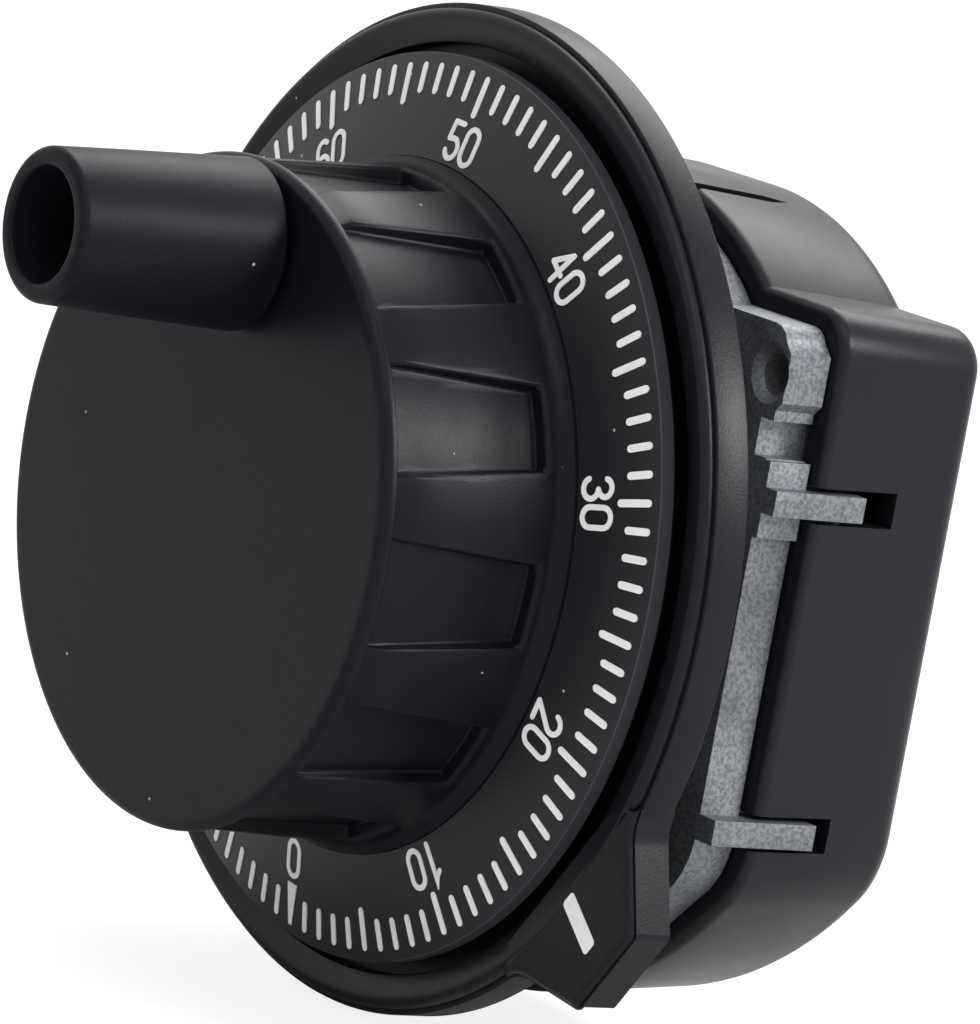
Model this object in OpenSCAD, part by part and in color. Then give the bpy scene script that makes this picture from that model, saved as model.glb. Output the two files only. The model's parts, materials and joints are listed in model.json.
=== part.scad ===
// Panel-mounted pulse generator: a hand-turned wheel with a dial of 100 divisions, a fixed
// index ring, and a die-cast frame and electronics behind the panel.
// The wheel turns about Y. The front faces -Y, +Z is up, and the plane y = 0 is the front
// face of the control panel. Modules draw in a front view (x right, y up, z towards the
// operator, z = 0 at the panel's front face), and face_on() stands that view upright.

/* [Panel interface] */
// Gap between the back of the index ring and the frame, which the panel fills
panel_gap = 5.5; // [3:0.1:8]
// Radius of the frame's neck, which passes through the panel cut-out
neck_r = 29.9; // [29:0.1:31]
// Radius of the circle on which the three panel screws sit
screw_circle_r = 36; // [35.8:0.1:36.6]
// Radius of the tapped holes for the panel screws
tapped_r = 1.65; // [1.3:0.05:1.8]

/* [Index ring] */
// Outer radius of the index ring
ring_r = 40; // [39.6:0.1:43]
// Thickness of the index ring
ring_t = 4; // [3.6:0.1:5]
// Thickness of the ring's floor under the dial
ring_floor = 1.8; // [1.5:0.1:1.9]
// Radius of the hole in the ring's floor
ring_hole_r = 24; // [23:0.1:25]
// Thickness of the ring's wall round the dial
ring_wall_t = 3.2; // [2.8:0.1:4]
// Distance by which the pointer tab stands out of the ring
tab_reach = 6; // [5:0.1:8]
// Width of the tab's flat tip
tab_tip_w = 8.8; // [7:0.1:10]
// Angle between each flank of the tab and its centre line
tab_flank = 33; // [25:1:40]
// Radius of the hollow fillet where the tab meets the ring
tab_fillet_r = 4; // [2:0.5:6]
// Bevel round the front edge of the tab
tab_bevel = 0.6; // [0.3:0.05:0.8]
// Direction of the pointer tab, counter-clockwise from +X
pointer_angle = -37.6; // [-60:0.1:0]
// Length of the white index mark
mark_l = 5; // [3:0.1:6]
// Width of the white index mark
mark_w = 1.6; // [1:0.1:2.5]
// Distance between the index mark and the tip of the tab
mark_margin = 2.2; // [1:0.1:2.4]

/* [Dial] */
// Radial width of the dial, from its bore to its rim
dial_w = 8.4; // [8:0.1:8.8]
// Height of the dial's rim above the panel
dial_h = 5.3; // [5:0.1:6]
// Thickness of the dial's metal
dial_t = 1.2; // [0.8:0.1:1.4]
// Slope of the dial's cone
dial_slope = 11; // [8:0.5:13]
// Radial gap between the dial and the wall of the index ring
dial_gap = 0.9; // [0.5:0.1:1.2]
// Number of divisions on the dial
divisions = 100; // [50:10:100]
// Direction of the zero line at rest, counter-clockwise from +X
zero_angle = -95.2; // [-180:0.1:180]
// Margin between the dial's rim and the outer ends of its lines
line_margin = 0.8; // [0.5:0.1:1.2]
// Length of a short dial line
short_line = 2.6; // [2:0.1:3]
// Length of every fifth dial line
long_line = 3.5; // [3.1:0.1:4]
// Width of a dial line
line_w = 0.6; // [0.4:0.05:0.8]
// Margin between the dial's bore and the feet of its numerals
numeral_margin = 0.35; // [0.2:0.05:0.6]
// Height of the numerals
numeral_h = 3.4; // [2.6:0.1:3.6]
// Width of one digit
digit_w = 2; // [1.6:0.1:2.1]
// Width of a numeral's stroke
stroke_w = 0.45; // [0.3:0.05:0.5]

/* [Wheel] */
// Height of the wheel's front face above the panel
wheel_h = 23.9; // [22.5:0.1:26]
// Distance by which the lip stands out over the front ends of the lands
lip_overhang = 0.3; // [0.1:0.1:0.5]
// Thickness of the lip
lip_t = 1.2; // [1:0.1:1.5]
// Radius of the lip's rounded edge
lip_round = 0.9; // [0.5:0.1:0.95]
// Distance between the rear ends of the gripping lands and the dial's bore
foot_w = 0.8; // [0.5:0.1:1]
// Difference in radius between the rear and front ends of the lands
land_taper = 0.6; // [0.3:0.1:1]
// Depth of the finger pockets at the front ends of the lands
pocket_depth = 0.8; // [0.6:0.1:1.2]
// Number of finger pockets
pocket_count = 12; // [10:1:14]
// Width of a pocket at the front
pocket_front_w = 8.8; // [7:0.1:9]
// Width of a pocket at the rear
pocket_rear_w = 6.4; // [5:0.1:7]
// Height of a pocket's rear wall above the panel
pocket_rear_h = 9.3; // [8.8:0.1:11]
// Thickness of the wheel's front wall
face_t = 3; // [2:0.1:4]
// Thickness of the wheel's wall behind the pocket floors
wheel_wall_t = 2.5; // [2:0.1:3]
// Distance by which the dial stands out over the flange that carries it
flange_margin = 1.5; // [0.8:0.1:2.5]
// Height of the flange's rear face above the panel
flange_h = 2.7; // [2.5:0.1:2.9]
// Radius of the metal hub
hub_r = 6.4; // [5.5:0.1:7]
// Thickness of the moulded boss round the hub
hub_boss_t = 3; // [2:0.1:3.5]

/* [Crank grip] */
// Distance between the grip's axis and the wall of the wheel's hollow
crank_margin = 3; // [2.9:0.1:3.8]
// Radius of the grip at its base
grip_base_r = 6.75; // [6:0.05:7.5]
// Radius of the grip at its free end
grip_end_r = 6.03; // [5.7:0.01:6.5]
// Length of the grip
grip_l = 18.1; // [15:0.1:24]
// Gap between the wheel's face and the grip
grip_gap = 0.7; // [0.5:0.1:1.2]
// Thickness of the grip's wall round the hollow in its free end
grip_wall_t = 1.53; // [1.2:0.01:1.8]
// Depth of the hollow in the grip's free end
grip_hollow_depth = 8.6; // [6:0.1:10]
// Radius of the shoulder screw on which the grip turns
shoulder_r = 2.5; // [2:0.1:2.8]
// Radius of the shoulder screw's head
shoulder_head_r = 3.9; // [3.4:0.1:4]
// Running clearance round the shoulder screw
grip_clearance = 0.08; // [0.03:0.01:0.1]

/* [Shaft and bearings] */
// Radius of the shaft
shaft_r = 3; // [2.5:0.1:3.2]
// Outer radius of the ball bearings
bearing_r = 7.5; // [7:0.1:8]
// Width of a ball bearing
bearing_w = 5; // [4:0.1:6]
// Radius of a bearing ball
ball_r = 1.15; // [1:0.05:1.2]
// Number of balls in a bearing
ball_count = 9; // [7:1:10]
// Thickness of the tube that holds the bearings
tube_wall_t = 3; // [2:0.1:3.5]
// Height of the tube's front end above the panel
tube_h = 14.4; // [13:0.1:14.6]
// Radial clearance of the shaft in its hub and collars
shaft_clearance = 0.01; // [0.005:0.005:0.03]

/* [Frame] */
// Thickness of the frame's front plate
plate_t = 2.5; // [2:0.1:3]
// Depth of the frame's side walls behind the front plate
frame_wall_depth = 6.5; // [5:0.1:8]
// Thickness of the frame's side walls
frame_wall_t = 2; // [1.5:0.1:2.5]
// Inset of the frame's rim inside the outline of the rear cover
frame_inset = 1.7; // [1.4:0.05:2.2]
// Gap between the frame's rim and the front edge of the cover
frame_step_gap = 0.4; // [0.3:0.1:0.8]
// Thickness of the side ribs
rib_t = 2; // [1.5:0.1:2.5]
// Height of the upper side rib's centre line
upper_rib_z = 8.6; // [6:0.1:10]
// Height of the lower side rib's centre line
lower_rib_z = -17.2; // [-17.6:0.1:-12]
// Distance by which the side ribs stand out of the cover's flat sides
rib_stand = 0.4; // [0.2:0.1:1]

/* [Rear cover] */
// Distance from the middle plane to the cover's flat sides
cover_side_x = 34.4; // [34.1:0.1:34.6]
// Height of the cover's square shoulders above the axis
cover_shoulder_z = 23.6; // [23.2:0.1:24]
// Radius of the cover's shoulders
cover_corner_r = 3.5; // [2.5:0.1:4.5]
// Height of the flat top above the axis
cover_top_z = 30.1; // [29.6:0.1:30.6]
// Width of the flat top
cover_top_w = 9; // [6:0.1:10]
// Radius of the cover's round flanks beside the flat top
cover_top_r = 29.8; // [29:0.1:30.2]
// Depth of the cover's lower arc below the axis
cover_bottom_z = 37.6; // [37.2:0.1:38]
// Radius of the cover's lower arc
cover_arc_r = 43.8; // [42:0.1:45]
// Radius of the cover's lower corners
cover_low_corner_r = 9; // [6:0.1:12]
// Distance from the panel's front face to the cover's front edge
cover_front = 9.6; // [9.4:0.1:10.4]
// Distance from the panel's front face to the cover's rear face
cover_rear = 24.6; // [24:0.1:26]
// Thickness of the cover's walls
cover_t = 2.3; // [2:0.05:2.4]
// Thickness of the cover's floor
cover_floor_t = 2; // [1.6:0.1:2.4]
// Radius of the cover's rounded rear edge
cover_edge_r = 2; // [1.5:0.1:2.5]
// Radius of the cover's rounded front edge
cover_lip_r = 1; // [0.6:0.1:1.4]
// Draft of the cover from front to rear
cover_draft = 1; // [0.6:0.1:1.2]
// Gap between the cover's walls and the frame's walls inside them
cover_gap = 0.3; // [0.2:0.05:0.5]

/* [Encoder] */
// Outer radius of the toothed detent rotor
detent_r = 16; // [14:0.1:17]
// Thickness of the detent rotor
detent_t = 2.6; // [2:0.1:3]
// Air gap between the detent rotor and its magnet
detent_gap = 0.35; // [0.25:0.05:0.6]
// Outer radius of the code disc
disc_r = 19; // [18:0.1:20]
// Thickness of the code disc
disc_t = 0.3; // [0.2:0.05:0.5]
// Radius of the circuit board
board_r = 26; // [25.5:0.1:26.4]
// Thickness of the circuit board
board_t = 1.6; // [1.2:0.1:2]
// Distance from the panel's front face to the board's front face
board_depth = 18; // [17.6:0.1:18.4]
// Radius of the circle on which the board's screws sit
board_screw_r = 22.5; // [22.2:0.1:23]
// Number of connection terminals
terminal_count = 6; // [4:1:6]
// Spacing of the connection terminals
terminal_pitch = 5; // [4.5:0.1:5.2]
// Height of the terminal block
terminal_h = 8.6; // [8:0.1:9.5]
// Depth of the terminal block behind the board
terminal_depth = 8.2; // [7.6:0.1:9]

/* [Hidden] */
$fn = 96;

// Colours, as the pieces look
black_abs = "#2b2b2f";
satin_black = "#232327";
dial_blue = "#2a2c34";
mark_white = "#f2f2f0";
zinc = "#8d969c";
steel = "#b9bcc0";
brass = "#b59a4e";
board_green = "#1f5b3a";

// A cut runs this far past the face it opens
past = 1;
front_z = -panel_gap;
plate_back = front_z - plate_t;
tube_back = plate_back;
wall_back = plate_back - frame_wall_depth;
screw_angles = [30, 150, 270];

// Radii from the ring's edge inwards
ring_wall_r = ring_r - ring_wall_t;
dial_r = ring_wall_r - dial_gap;
dial_bore_r = dial_r - dial_w;
flange_r = dial_r - flange_margin;
land_rear_r = dial_bore_r - foot_w;
land_front_r = land_rear_r - land_taper;
pocket_floor_r = land_front_r - pocket_depth;
lip_r = land_front_r + lip_overhang;
hollow_r = pocket_floor_r - wheel_wall_t;
crank_r = hollow_r - crank_margin;
hub_boss_r = hub_r + hub_boss_t;
tube_r = bearing_r + tube_wall_t;
grip_hollow_r = grip_end_r - grip_wall_t;

// Index ring
tab_r = ring_r + tab_reach;
ridge_r = 0.7;
ridge_inset = 0.45;
groove_h = 0.2;
band_top = ring_t - ridge_r - groove_h;
crest_r = ring_r - ridge_inset - ridge_r;
crest_w = 0.5;
fillet_bite = 0.05;
ring_face_dish = 0.45;
ring_edge_chamfer = 0.3;
ring_screw_r = neck_r - 2.9;
ring_screw_shank_r = 1.25;
ring_screw_head_r = 2.4;
ring_screw_l = 7;
mark_depth = 0.3;
mark_corner = 0.35;
mark_centre_r = tab_r - mark_margin - mark_l / 2;

// Dial and marks
line_end_r = dial_r - line_margin;
numeral_r = dial_bore_r + numeral_margin + numeral_h / 2;
numeral_gap = 0.22;
mark_t = 0.08;
dial_chamfer = 0.25;

// Wheel
lip_back = wheel_h - lip_t;
groove_r = pocket_floor_r + 0.15;
groove_w = 0.3;
ramp_l = 1.3;
land_rear_h = pocket_rear_h - 0.6;
foot_fillet_r = 1.8;
roof = wheel_h - face_t;
crank_angle = zero_angle + 180;
hub_top = wheel_h - 3.4;
hub_nose_r = 4.1;
hub_flange_h = tube_h + 0.5;
set_screw_h = (hub_flange_h + hub_top) / 2;
set_screw_r = 1.5;
set_screw_l = 3;
set_screw_pockets = [8, 11];
key_hole_r = 1.7;
rib_count = 6;
wheel_rib_t = 1.6;
insert_r = 3.2;
insert_l = 8;
insert_boss_r = 5;

// Crank grip
grip_base_h = wheel_h + grip_gap;
grip_end_h = grip_base_h + grip_l;
grip_lip_r = 0.7;
grip_seat_h = grip_end_h - grip_hollow_depth;
head_h = 3;
head_gap = 0.3;
hex_af = 2.5;
hex_depth = 1.8;
crank_thread_r = 2;
washer_t = grip_gap - 0.1;
washer_r = 5.2;

// Bearings
race_gap = ball_r * 0.75;
ball_circle_r = (shaft_r + bearing_r) / 2;
groove_clearance = 0.04;
front_bearing_z = tube_h - 1.4 - bearing_w;
rear_bearing_z = tube_back;
tube_land_r = bearing_r - 0.9;
clip_t = 0.7;
clip_depth = 0.5;
shaft_front = hub_top - 0.3;
shaft_back = -(board_depth - 1.2);
journal_r = shaft_r + 1;

// Encoder stack behind the rear bearing
rotor_z = tube_back - 1;
detent_teeth = divisions;
tooth_depth = 0.35;
hub_z = rotor_z - detent_t;
disc_hub_r = 7;
disc_hub_t = 2.3;
disc_z = hub_z - disc_hub_t;
slit_l = 2.2;
slit_w = 0.5;
slit_end_r = disc_r - 0.9;
clamp_t = 1.2;
magnet_angle = 20;
magnet_w = 7;
magnet_l = 3.5;
magnet_t = 2.2;
holder_wall = 1.5;
holder_foot_l = 6;
sensor_angle = 150;
sensor_w = 11;
sensor_wall = 2.4;
sensor_in_r = slit_end_r - slit_l - 1.4;
sensor_gap = 0.5;
sensor_front = disc_z + sensor_gap + 1.3;
board_back = -(board_depth + board_t);
post_r = 2.8;
board_screw_angles = [90, 210, 330];
pilot_r = 1.05;
board_screw_head_r = 2.2;
board_screw_l = 5;
terminal_w = terminal_count * terminal_pitch + 1;
terminal_y = -9.5;
terminal_screw_r = 1.75;
terminal_well_r = 1.9;
terminal_well_depth = 2.6;
terminal_well_y = 0.8;
terminal_slot_w = 0.5;
wire_entry_w = 2.8;
wire_entry_h = 2.4;
wire_entry_l = 4;
terminal_gap = 0.4;

// Rear cover
cover_arc_z = cover_arc_r - cover_bottom_z;
cover_top_c = [cover_top_w / 2, cover_top_z - cover_top_r];
frame_step = -cover_front + frame_step_gap;
wall_inset = cover_t + cover_gap
    + cover_draft * (-wall_back - cover_front) / (cover_rear - cover_edge_r - cover_front);
cover_screw_places = [[-26.4, 15.2], [26.4, 15.2], [0, -30.2]];
cover_post_r = 3.1;
cover_post_end = -cover_rear + cover_floor_t + 0.1;
cover_screw_r = 1.45;
cover_screw_head_r = 2.8;
cover_screw_head_t = 1.5;
cover_screw_l = 8;
relief_r = tapped_r + 0.35;
relief_depth = 1.6;
rib_slot_w = rib_t + 0.8;
upper_rib_back = 14.1;
lower_rib_back = 15.2;
upper_slot_back = 17.7;
lower_slot_back = 17.2;
snap_slot_angle = 77;
snap_slot_w = 1.2;
snap_slot_l = 9.8;
snap_slot_tip = 2;

// ---- helpers ----

// Stands the front view upright in the part's frame
module face_on() {
    rotate([90, 0, 0]) children();
}

// Moves to a radius and direction of the front view, with x along the radius
module at_angle(angle, radius) {
    rotate(angle) translate([radius, 0, 0]) children();
}

// A cylinder from one height to another
module post(r, low, high) {
    translate([0, 0, low]) cylinder(r = r, h = high - low);
}

// A tube from one height to another
module tube(r_out, r_in, low, high) {
    difference() {
        post(r_out, low, high);
        post(r_in, low - past, high + past);
    }
}

// A rectangle with rounded corners, centred on the origin
module rounded_rect(size, r) {
    square([size[0] - 2 * r, size[1]], center = true);
    square([size[0], size[1] - 2 * r], center = true);
    for (sx = [-1, 1], sy = [-1, 1])
        translate([sx * (size[0] / 2 - r), sy * (size[1] / 2 - r)]) circle(r);
}

// Height of the dial's front surface at a radius
function dial_height(r) = dial_h + (dial_r - r) * tan(dial_slope);

// Points along an arc
function arc(c, r, from, to, steps) =
    [for (i = [0:steps]) let (a = from + (to - from) * i / steps)
        [c[0] + r[0] * cos(a), c[1] + r[1] * sin(a)]];

function unit(v) = v / norm(v);
function left_of(v) = [-v[1], v[0]];

// Mitred normal at point i of a path
function path_normal(p, i) =
    let (n = len(p) - 1,
         before = i > 0 ? left_of(unit(p[i] - p[i - 1])) : left_of(unit(p[1] - p[0])),
         after = i < n ? left_of(unit(p[i + 1] - p[i])) : before,
         sum = unit(before + after))
    sum / (sum * after);

// A path without repeated points
function distinct(p) = [for (i = [0:len(p) - 1]) if (i == 0 || norm(p[i] - p[i - 1]) > 0.001) p[i]];

// Outline of a stroke of width w along a path, with round ends
function stroke_outline(path, w) =
    let (p = distinct(path),
         n = len(p) - 1,
         h = w / 2,
         start = unit(p[0] - p[1]),
         end = unit(p[n] - p[n - 1]),
         sa = atan2(start[1], start[0]),
         ea = atan2(end[1], end[0]))
    concat(
        [for (i = [0:n]) p[i] - path_normal(p, i) * h],
        [for (i = [1:3]) p[n] + h * [cos(ea - 90 + 45 * i), sin(ea - 90 + 45 * i)]],
        [for (i = [n:-1:0]) p[i] + path_normal(p, i) * h],
        [for (i = [1:3]) p[0] + h * [cos(sa - 90 + 45 * i), sin(sa - 90 + 45 * i)]]);

// Lays a flat shape on the dial's cone, with its middle at a radius and a direction
module on_dial(angle, radius) {
    rotate(angle) translate([radius, 0, dial_height(radius)])
        rotate([0, dial_slope, 0]) linear_extrude(mark_t) children();
}

// ---- the fixed front ----

// Cross-section of the index ring: floor, wall, dished face, ridge, groove and side band
module ring_section() {
    polygon(concat([
        [ring_hole_r, 0], [ring_r - ring_edge_chamfer, 0], [ring_r, ring_edge_chamfer],
        [ring_r, band_top], [ring_r - ridge_inset, band_top]],
        arc([crest_r, ring_t - ridge_r], [ridge_r, ridge_r], 0, 90, 5),
        [[crest_r - crest_w, ring_t], [ring_wall_r, ring_t - ring_face_dish],
        [ring_wall_r, ring_floor], [ring_hole_r, ring_floor]
    ]));
}

// Middle of the hollow fillet between the ring and the upper flank of the tab
tab_tip = [tab_r, tab_tip_w / 2];
flank_dir = [-cos(tab_flank), sin(tab_flank)];
flank_out = [sin(tab_flank), cos(tab_flank)];
fillet_start = tab_tip + flank_out * tab_fillet_r;
fillet_reach = ring_r - fillet_bite + tab_fillet_r;
flank_run = let (b = fillet_start * flank_dir, c = fillet_start * fillet_start)
    -b - sqrt(b * b - c + fillet_reach * fillet_reach);
fillet_mid = fillet_start + flank_dir * flank_run;
flank_end = fillet_mid - flank_out * tab_fillet_r;
ring_touch = fillet_mid * (ring_r - fillet_bite - 0.5) / fillet_reach;

// Outline of the tab, with its edge moved in by a margin
module tab_outline(margin) {
    tip = tab_tip - flank_out * margin + [-margin, 0] * (1 - sin(tab_flank)) / cos(tab_flank);
    inner_x = ring_r - 4;
    difference() {
        polygon([
            [inner_x, -ring_touch[1]], [ring_touch[0], -ring_touch[1]],
            [fillet_mid[0], -fillet_mid[1]], [flank_end[0], -flank_end[1] + margin],
            [tab_r - margin, -tip[1]], [tab_r - margin, tip[1]],
            [flank_end[0], flank_end[1] - margin], [fillet_mid[0], fillet_mid[1]],
            [ring_touch[0], ring_touch[1]], [inner_x, ring_touch[1]]
        ]);
        for (side = [-1, 1])
            translate([fillet_mid[0], side * fillet_mid[1]]) circle(tab_fillet_r + margin);
        circle(crest_r - crest_w / 2);
    }
}

// A square bar on edge along x, which cuts a bevel where its middle follows an edge
module bevel_bar(from, to, size) {
    side = size * sqrt(2);
    rotate([45, 0, 0]) translate([from, -side / 2, -side / 2]) cube([to - from, side, side]);
}

// The tab with a bevelled front edge
module pointer_tab() {
    difference() {
        linear_extrude(ring_t) tab_outline(0);
        translate([tab_r, 0, ring_t]) rotate(90) bevel_bar(-tab_tip_w, tab_tip_w, tab_bevel);
        for (side = [-1, 1]) {
            translate([tab_tip[0], side * tab_tip[1], ring_t]) rotate(-side * tab_flank)
                bevel_bar(-flank_run, 3, tab_bevel);
        }
        // groove between the front edge and the side band
        translate([0, 0, band_top]) linear_extrude(groove_h) difference() {
            tab_outline(-past);
            tab_outline(ridge_inset / 2);
            circle(ring_r - ridge_inset);
        }
    }
}

module index_mark_shape(low, high) {
    rotate(pointer_angle) translate([mark_centre_r, 0, low])
        linear_extrude(high - low) rounded_rect([mark_l, mark_w], mark_corner);
}

module index_ring() {
    color(black_abs) face_on() difference() {
        union() {
            rotate_extrude() ring_section();
            rotate(pointer_angle) pointer_tab();
        }
        index_mark_shape(ring_t - mark_depth, ring_t + past);
        for (a = screw_angles) at_angle(a, ring_screw_r) {
            post(ring_screw_shank_r + 0.2, -past, ring_floor + past);
            translate([0, 0, ring_floor - ring_screw_head_r + ring_screw_shank_r])
                cylinder(r1 = ring_screw_shank_r + 0.2, r2 = ring_screw_head_r + 0.2,
                    h = ring_screw_head_r - ring_screw_shank_r + 0.001);
        }
    }
}

module index_mark() {
    color(mark_white) face_on() index_mark_shape(ring_t - mark_depth, ring_t);
}

// Countersunk screw, with its flat face at z = 0 and a slot in it
module countersunk_screw(shank_r, head_r, length) {
    difference() {
        union() {
            translate([0, 0, -length]) cylinder(r = shank_r, h = length);
            translate([0, 0, shank_r - head_r]) cylinder(r1 = shank_r, r2 = head_r, h = head_r - shank_r);
        }
        translate([0, 0, 0]) cube([head_r * 1.5, 0.6, 1.1], center = true);
        cube([0.6, head_r * 1.5, 1.1], center = true);
    }
}

module ring_screws() {
    color(steel) face_on() for (a = screw_angles)
        at_angle(a, ring_screw_r) translate([0, 0, ring_floor])
            countersunk_screw(ring_screw_shank_r, ring_screw_head_r, ring_screw_l);
}

// ---- frame ----

// The frame and the cover share one outline: a block with a lower arc, flat sides and square
// shoulders, and a round top with a short flat. A margin moves an outline inwards.
function block_outline(margin) =
    let (side = cover_side_x - margin,
         top = cover_shoulder_z - margin,
         arc_r = cover_arc_r - margin,
         low_r = max(cover_low_corner_r - margin, 0.5),
         high_r = max(cover_corner_r - margin, 0.5),
         low_x = side - low_r,
         low = [low_x, cover_arc_z - sqrt(pow(arc_r - low_r, 2) - low_x * low_x)],
         high = [side - high_r, top - high_r],
         turn = atan2(low[1] - cover_arc_z, low[0]),
         right = concat(
             arc([0, cover_arc_z], [arc_r, arc_r], -89, turn, 6),
             arc(low, [low_r, low_r], turn + 4, 0, 5),
             arc(high, [high_r, high_r], 0, 90, 4)))
    concat(right, [for (i = [len(right) - 1:-1:0]) [-right[i][0], right[i][1]]]);

function top_outline(margin) =
    let (r = cover_top_r - margin,
         right = arc(cover_top_c, [r, r], 30, 90, 10))
    concat(right, [for (i = [len(right) - 1:-1:0]) [-right[i][0], right[i][1]]]);

module shell_outline(margin) {
    polygon(block_outline(margin));
    polygon(top_outline(margin));
}

// One side rib, from the front plate to its rear end, at the +x side
module side_rib(height, back) {
    root = wall_inset + frame_wall_t;
    translate([cover_side_x - root, height - rib_t / 2, -back])
        cube([root + rib_stand, rib_t, back + front_z]);
}

// Tapped boss for a panel screw, square with bevelled corners
module panel_boss() {
    boss = 6.2;
    bevel = 1.2;
    reach = 2.2;
    translate([0, 0, -cover_front + 0.3]) linear_extrude(cover_front - panel_gap - 0.3) polygon([
        [-boss + reach, -boss / 2], [reach - bevel, -boss / 2], [reach, -boss / 2 + bevel],
        [reach, boss / 2 - bevel], [reach - bevel, boss / 2], [-boss + reach, boss / 2]
    ]);
}

module panel_holes() {
    for (a = screw_angles) at_angle(a, screw_circle_r) {
        post(tapped_r, -cover_front - past, front_z + past);
        translate([0, 0, front_z - 0.7]) cylinder(r1 = tapped_r, r2 = tapped_r + 0.9, h = 0.9);
    }
}

module frame() {
    side = cover_side_x - frame_inset;
    color(zinc) face_on() difference() {
        union() {
            // neck through the panel, with its web
            post(neck_r, front_z - 0.5, 0);
            // front plate with its rim, and side walls that step in to go inside the cover
            difference() {
                union() {
                    translate([0, 0, frame_step]) linear_extrude(front_z - frame_step)
                        shell_outline(frame_inset);
                    translate([0, 0, wall_back]) linear_extrude(frame_step - wall_back + 0.5)
                        shell_outline(wall_inset);
                }
                translate([0, 0, wall_back - past])
                    linear_extrude(plate_back - wall_back + past)
                    shell_outline(wall_inset + frame_wall_t);
            }
            // bosses on the panel screw circle
            for (mirrored = [0, 1]) mirror([mirrored, 0, 0])
                translate([screw_circle_r * cos(30), screw_circle_r * sin(30), 0]) panel_boss();
            at_angle(270, screw_circle_r) panel_boss();
            // side ribs through the cover's slots
            for (mirrored = [0, 1]) mirror([mirrored, 0, 0]) {
                side_rib(upper_rib_z, upper_rib_back);
                side_rib(lower_rib_z, lower_rib_back);
                // flat pad in front of the upper rib
                translate([side - 1, upper_rib_z - 3, -cover_front + 0.3])
                    cube([1.6, 6, cover_front - panel_gap - 0.3]);
            }
            // bearing tube
            post(tube_r, tube_back, tube_h);
            // posts for the board and for the cover
            for (a = board_screw_angles) at_angle(a, board_screw_r)
                post(post_r, -board_depth, plate_back + 0.5);
            for (p = cover_screw_places) translate([p[0], p[1], 0])
                post(cover_post_r, cover_post_end, plate_back + 0.5);
        }
        // hollow of the neck, open to the front, with six webs left by its pockets
        for (i = [0:5]) rotate(60 * i + 30) translate([0, 0, -3]) intersection() {
            tube(neck_r - 7, tube_r + 2, 0, 3 + past);
            rotate(-26) cube([neck_r, neck_r, 3 + past]);
            rotate(-64) translate([0, 0, 0]) cube([neck_r, neck_r, 3 + past]);
        }
        // bearing seats and the bore between them
        post(bearing_r, front_bearing_z, tube_h + past);
        post(tube_land_r, tube_back - past, tube_h);
        post(bearing_r, tube_back - past, rear_bearing_z + bearing_w);
        tube(bearing_r + clip_depth, bearing_r - past, front_bearing_z + bearing_w,
            front_bearing_z + bearing_w + clip_t);
        // recess in the side wall between the boss and the upper rib
        for (mirrored = [0, 1]) mirror([mirrored, 0, 0])
            translate([side - 1.6, 11.7, -cover_front])
                cube([4, 2.9, cover_front - panel_gap + past]);
        panel_holes();
        for (a = screw_angles) at_angle(a, ring_screw_r)
            post(ring_screw_shank_r, ring_floor - ring_screw_l - 0.5, past);
        for (a = board_screw_angles) at_angle(a, board_screw_r)
            post(pilot_r, -board_depth - past, -board_depth + board_screw_l);
        for (p = cover_screw_places) translate([p[0], p[1], 0])
            post(cover_screw_r, -cover_rear, -cover_rear + cover_floor_t + cover_screw_l);
    }
}

// ---- rear cover ----

// Thin slab of an outline, at one height of the cover
module cover_slab(height) {
    translate([0, 0, height]) linear_extrude(0.01) children();
}

// Solid form of the cover, inset by a wall and a floor thickness: a rounded front edge,
// drafted walls and a rounded rear edge
module cover_form(wall, floor, lip, edge) {
    for (part = [0, 1]) hull() {
        for (a = [0:30:90]) {
            lip_inset = wall + lip * (1 - sin(a));
            edge_inset = wall + cover_draft + edge * (1 - cos(a));
            cover_slab(-cover_front - lip * (1 - cos(a)) - 0.01)
                polygon(part == 0 ? block_outline(lip_inset) : top_outline(lip_inset));
            cover_slab(-cover_rear + floor + edge * (1 - sin(a)))
                polygon(part == 0 ? block_outline(edge_inset) : top_outline(edge_inset));
        }
    }
}

module rib_slot(side, height, back) {
    translate([side * cover_side_x - 2 * cover_t, height - rib_slot_w / 2, -back])
        cube([4 * cover_t, rib_slot_w, back - cover_front + past]);
}

module rear_cover() {
    color(black_abs) face_on() difference() {
        cover_form(0, 0, cover_lip_r, cover_edge_r);
        translate([0, 0, 0.02]) cover_form(cover_t, cover_floor_t, 0, cover_corner_r - cover_t);
        // slots that the side ribs come out through
        for (side = [-1, 1]) {
            rib_slot(side, upper_rib_z, upper_slot_back);
            rib_slot(side, lower_rib_z, lower_slot_back);
        }
        // narrow slot with a pointed end in the round top
        translate(cover_top_c) rotate(snap_slot_angle)
            translate([cover_top_r - 2 * cover_t, 0, -cover_front]) rotate([0, 90, 0])
            linear_extrude(3 * cover_t) polygon([
                [-past, -snap_slot_w / 2], [snap_slot_l - snap_slot_tip, -snap_slot_w / 2],
                [snap_slot_l, 0], [snap_slot_l - snap_slot_tip, snap_slot_w / 2],
                [-past, snap_slot_w / 2]
            ]);
        // relief for the ends of the panel screws
        for (a = screw_angles) at_angle(a, screw_circle_r)
            post(relief_r, -cover_front - relief_depth, past - cover_front);
        // opening for the terminal block
        translate([0, terminal_y, -cover_rear])
            cube([terminal_w + 2 * terminal_gap, terminal_h + 2 * terminal_gap, 8], center = true);
        for (p = cover_screw_places) translate([p[0], p[1], -cover_rear]) {
            post(cover_screw_r + 0.15, -past, cover_floor_t + past);
            translate([0, 0, -0.001]) cylinder(r1 = cover_screw_head_r + 0.1, r2 = cover_screw_r + 0.15,
                h = cover_screw_head_t);
        }
    }
}

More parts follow.
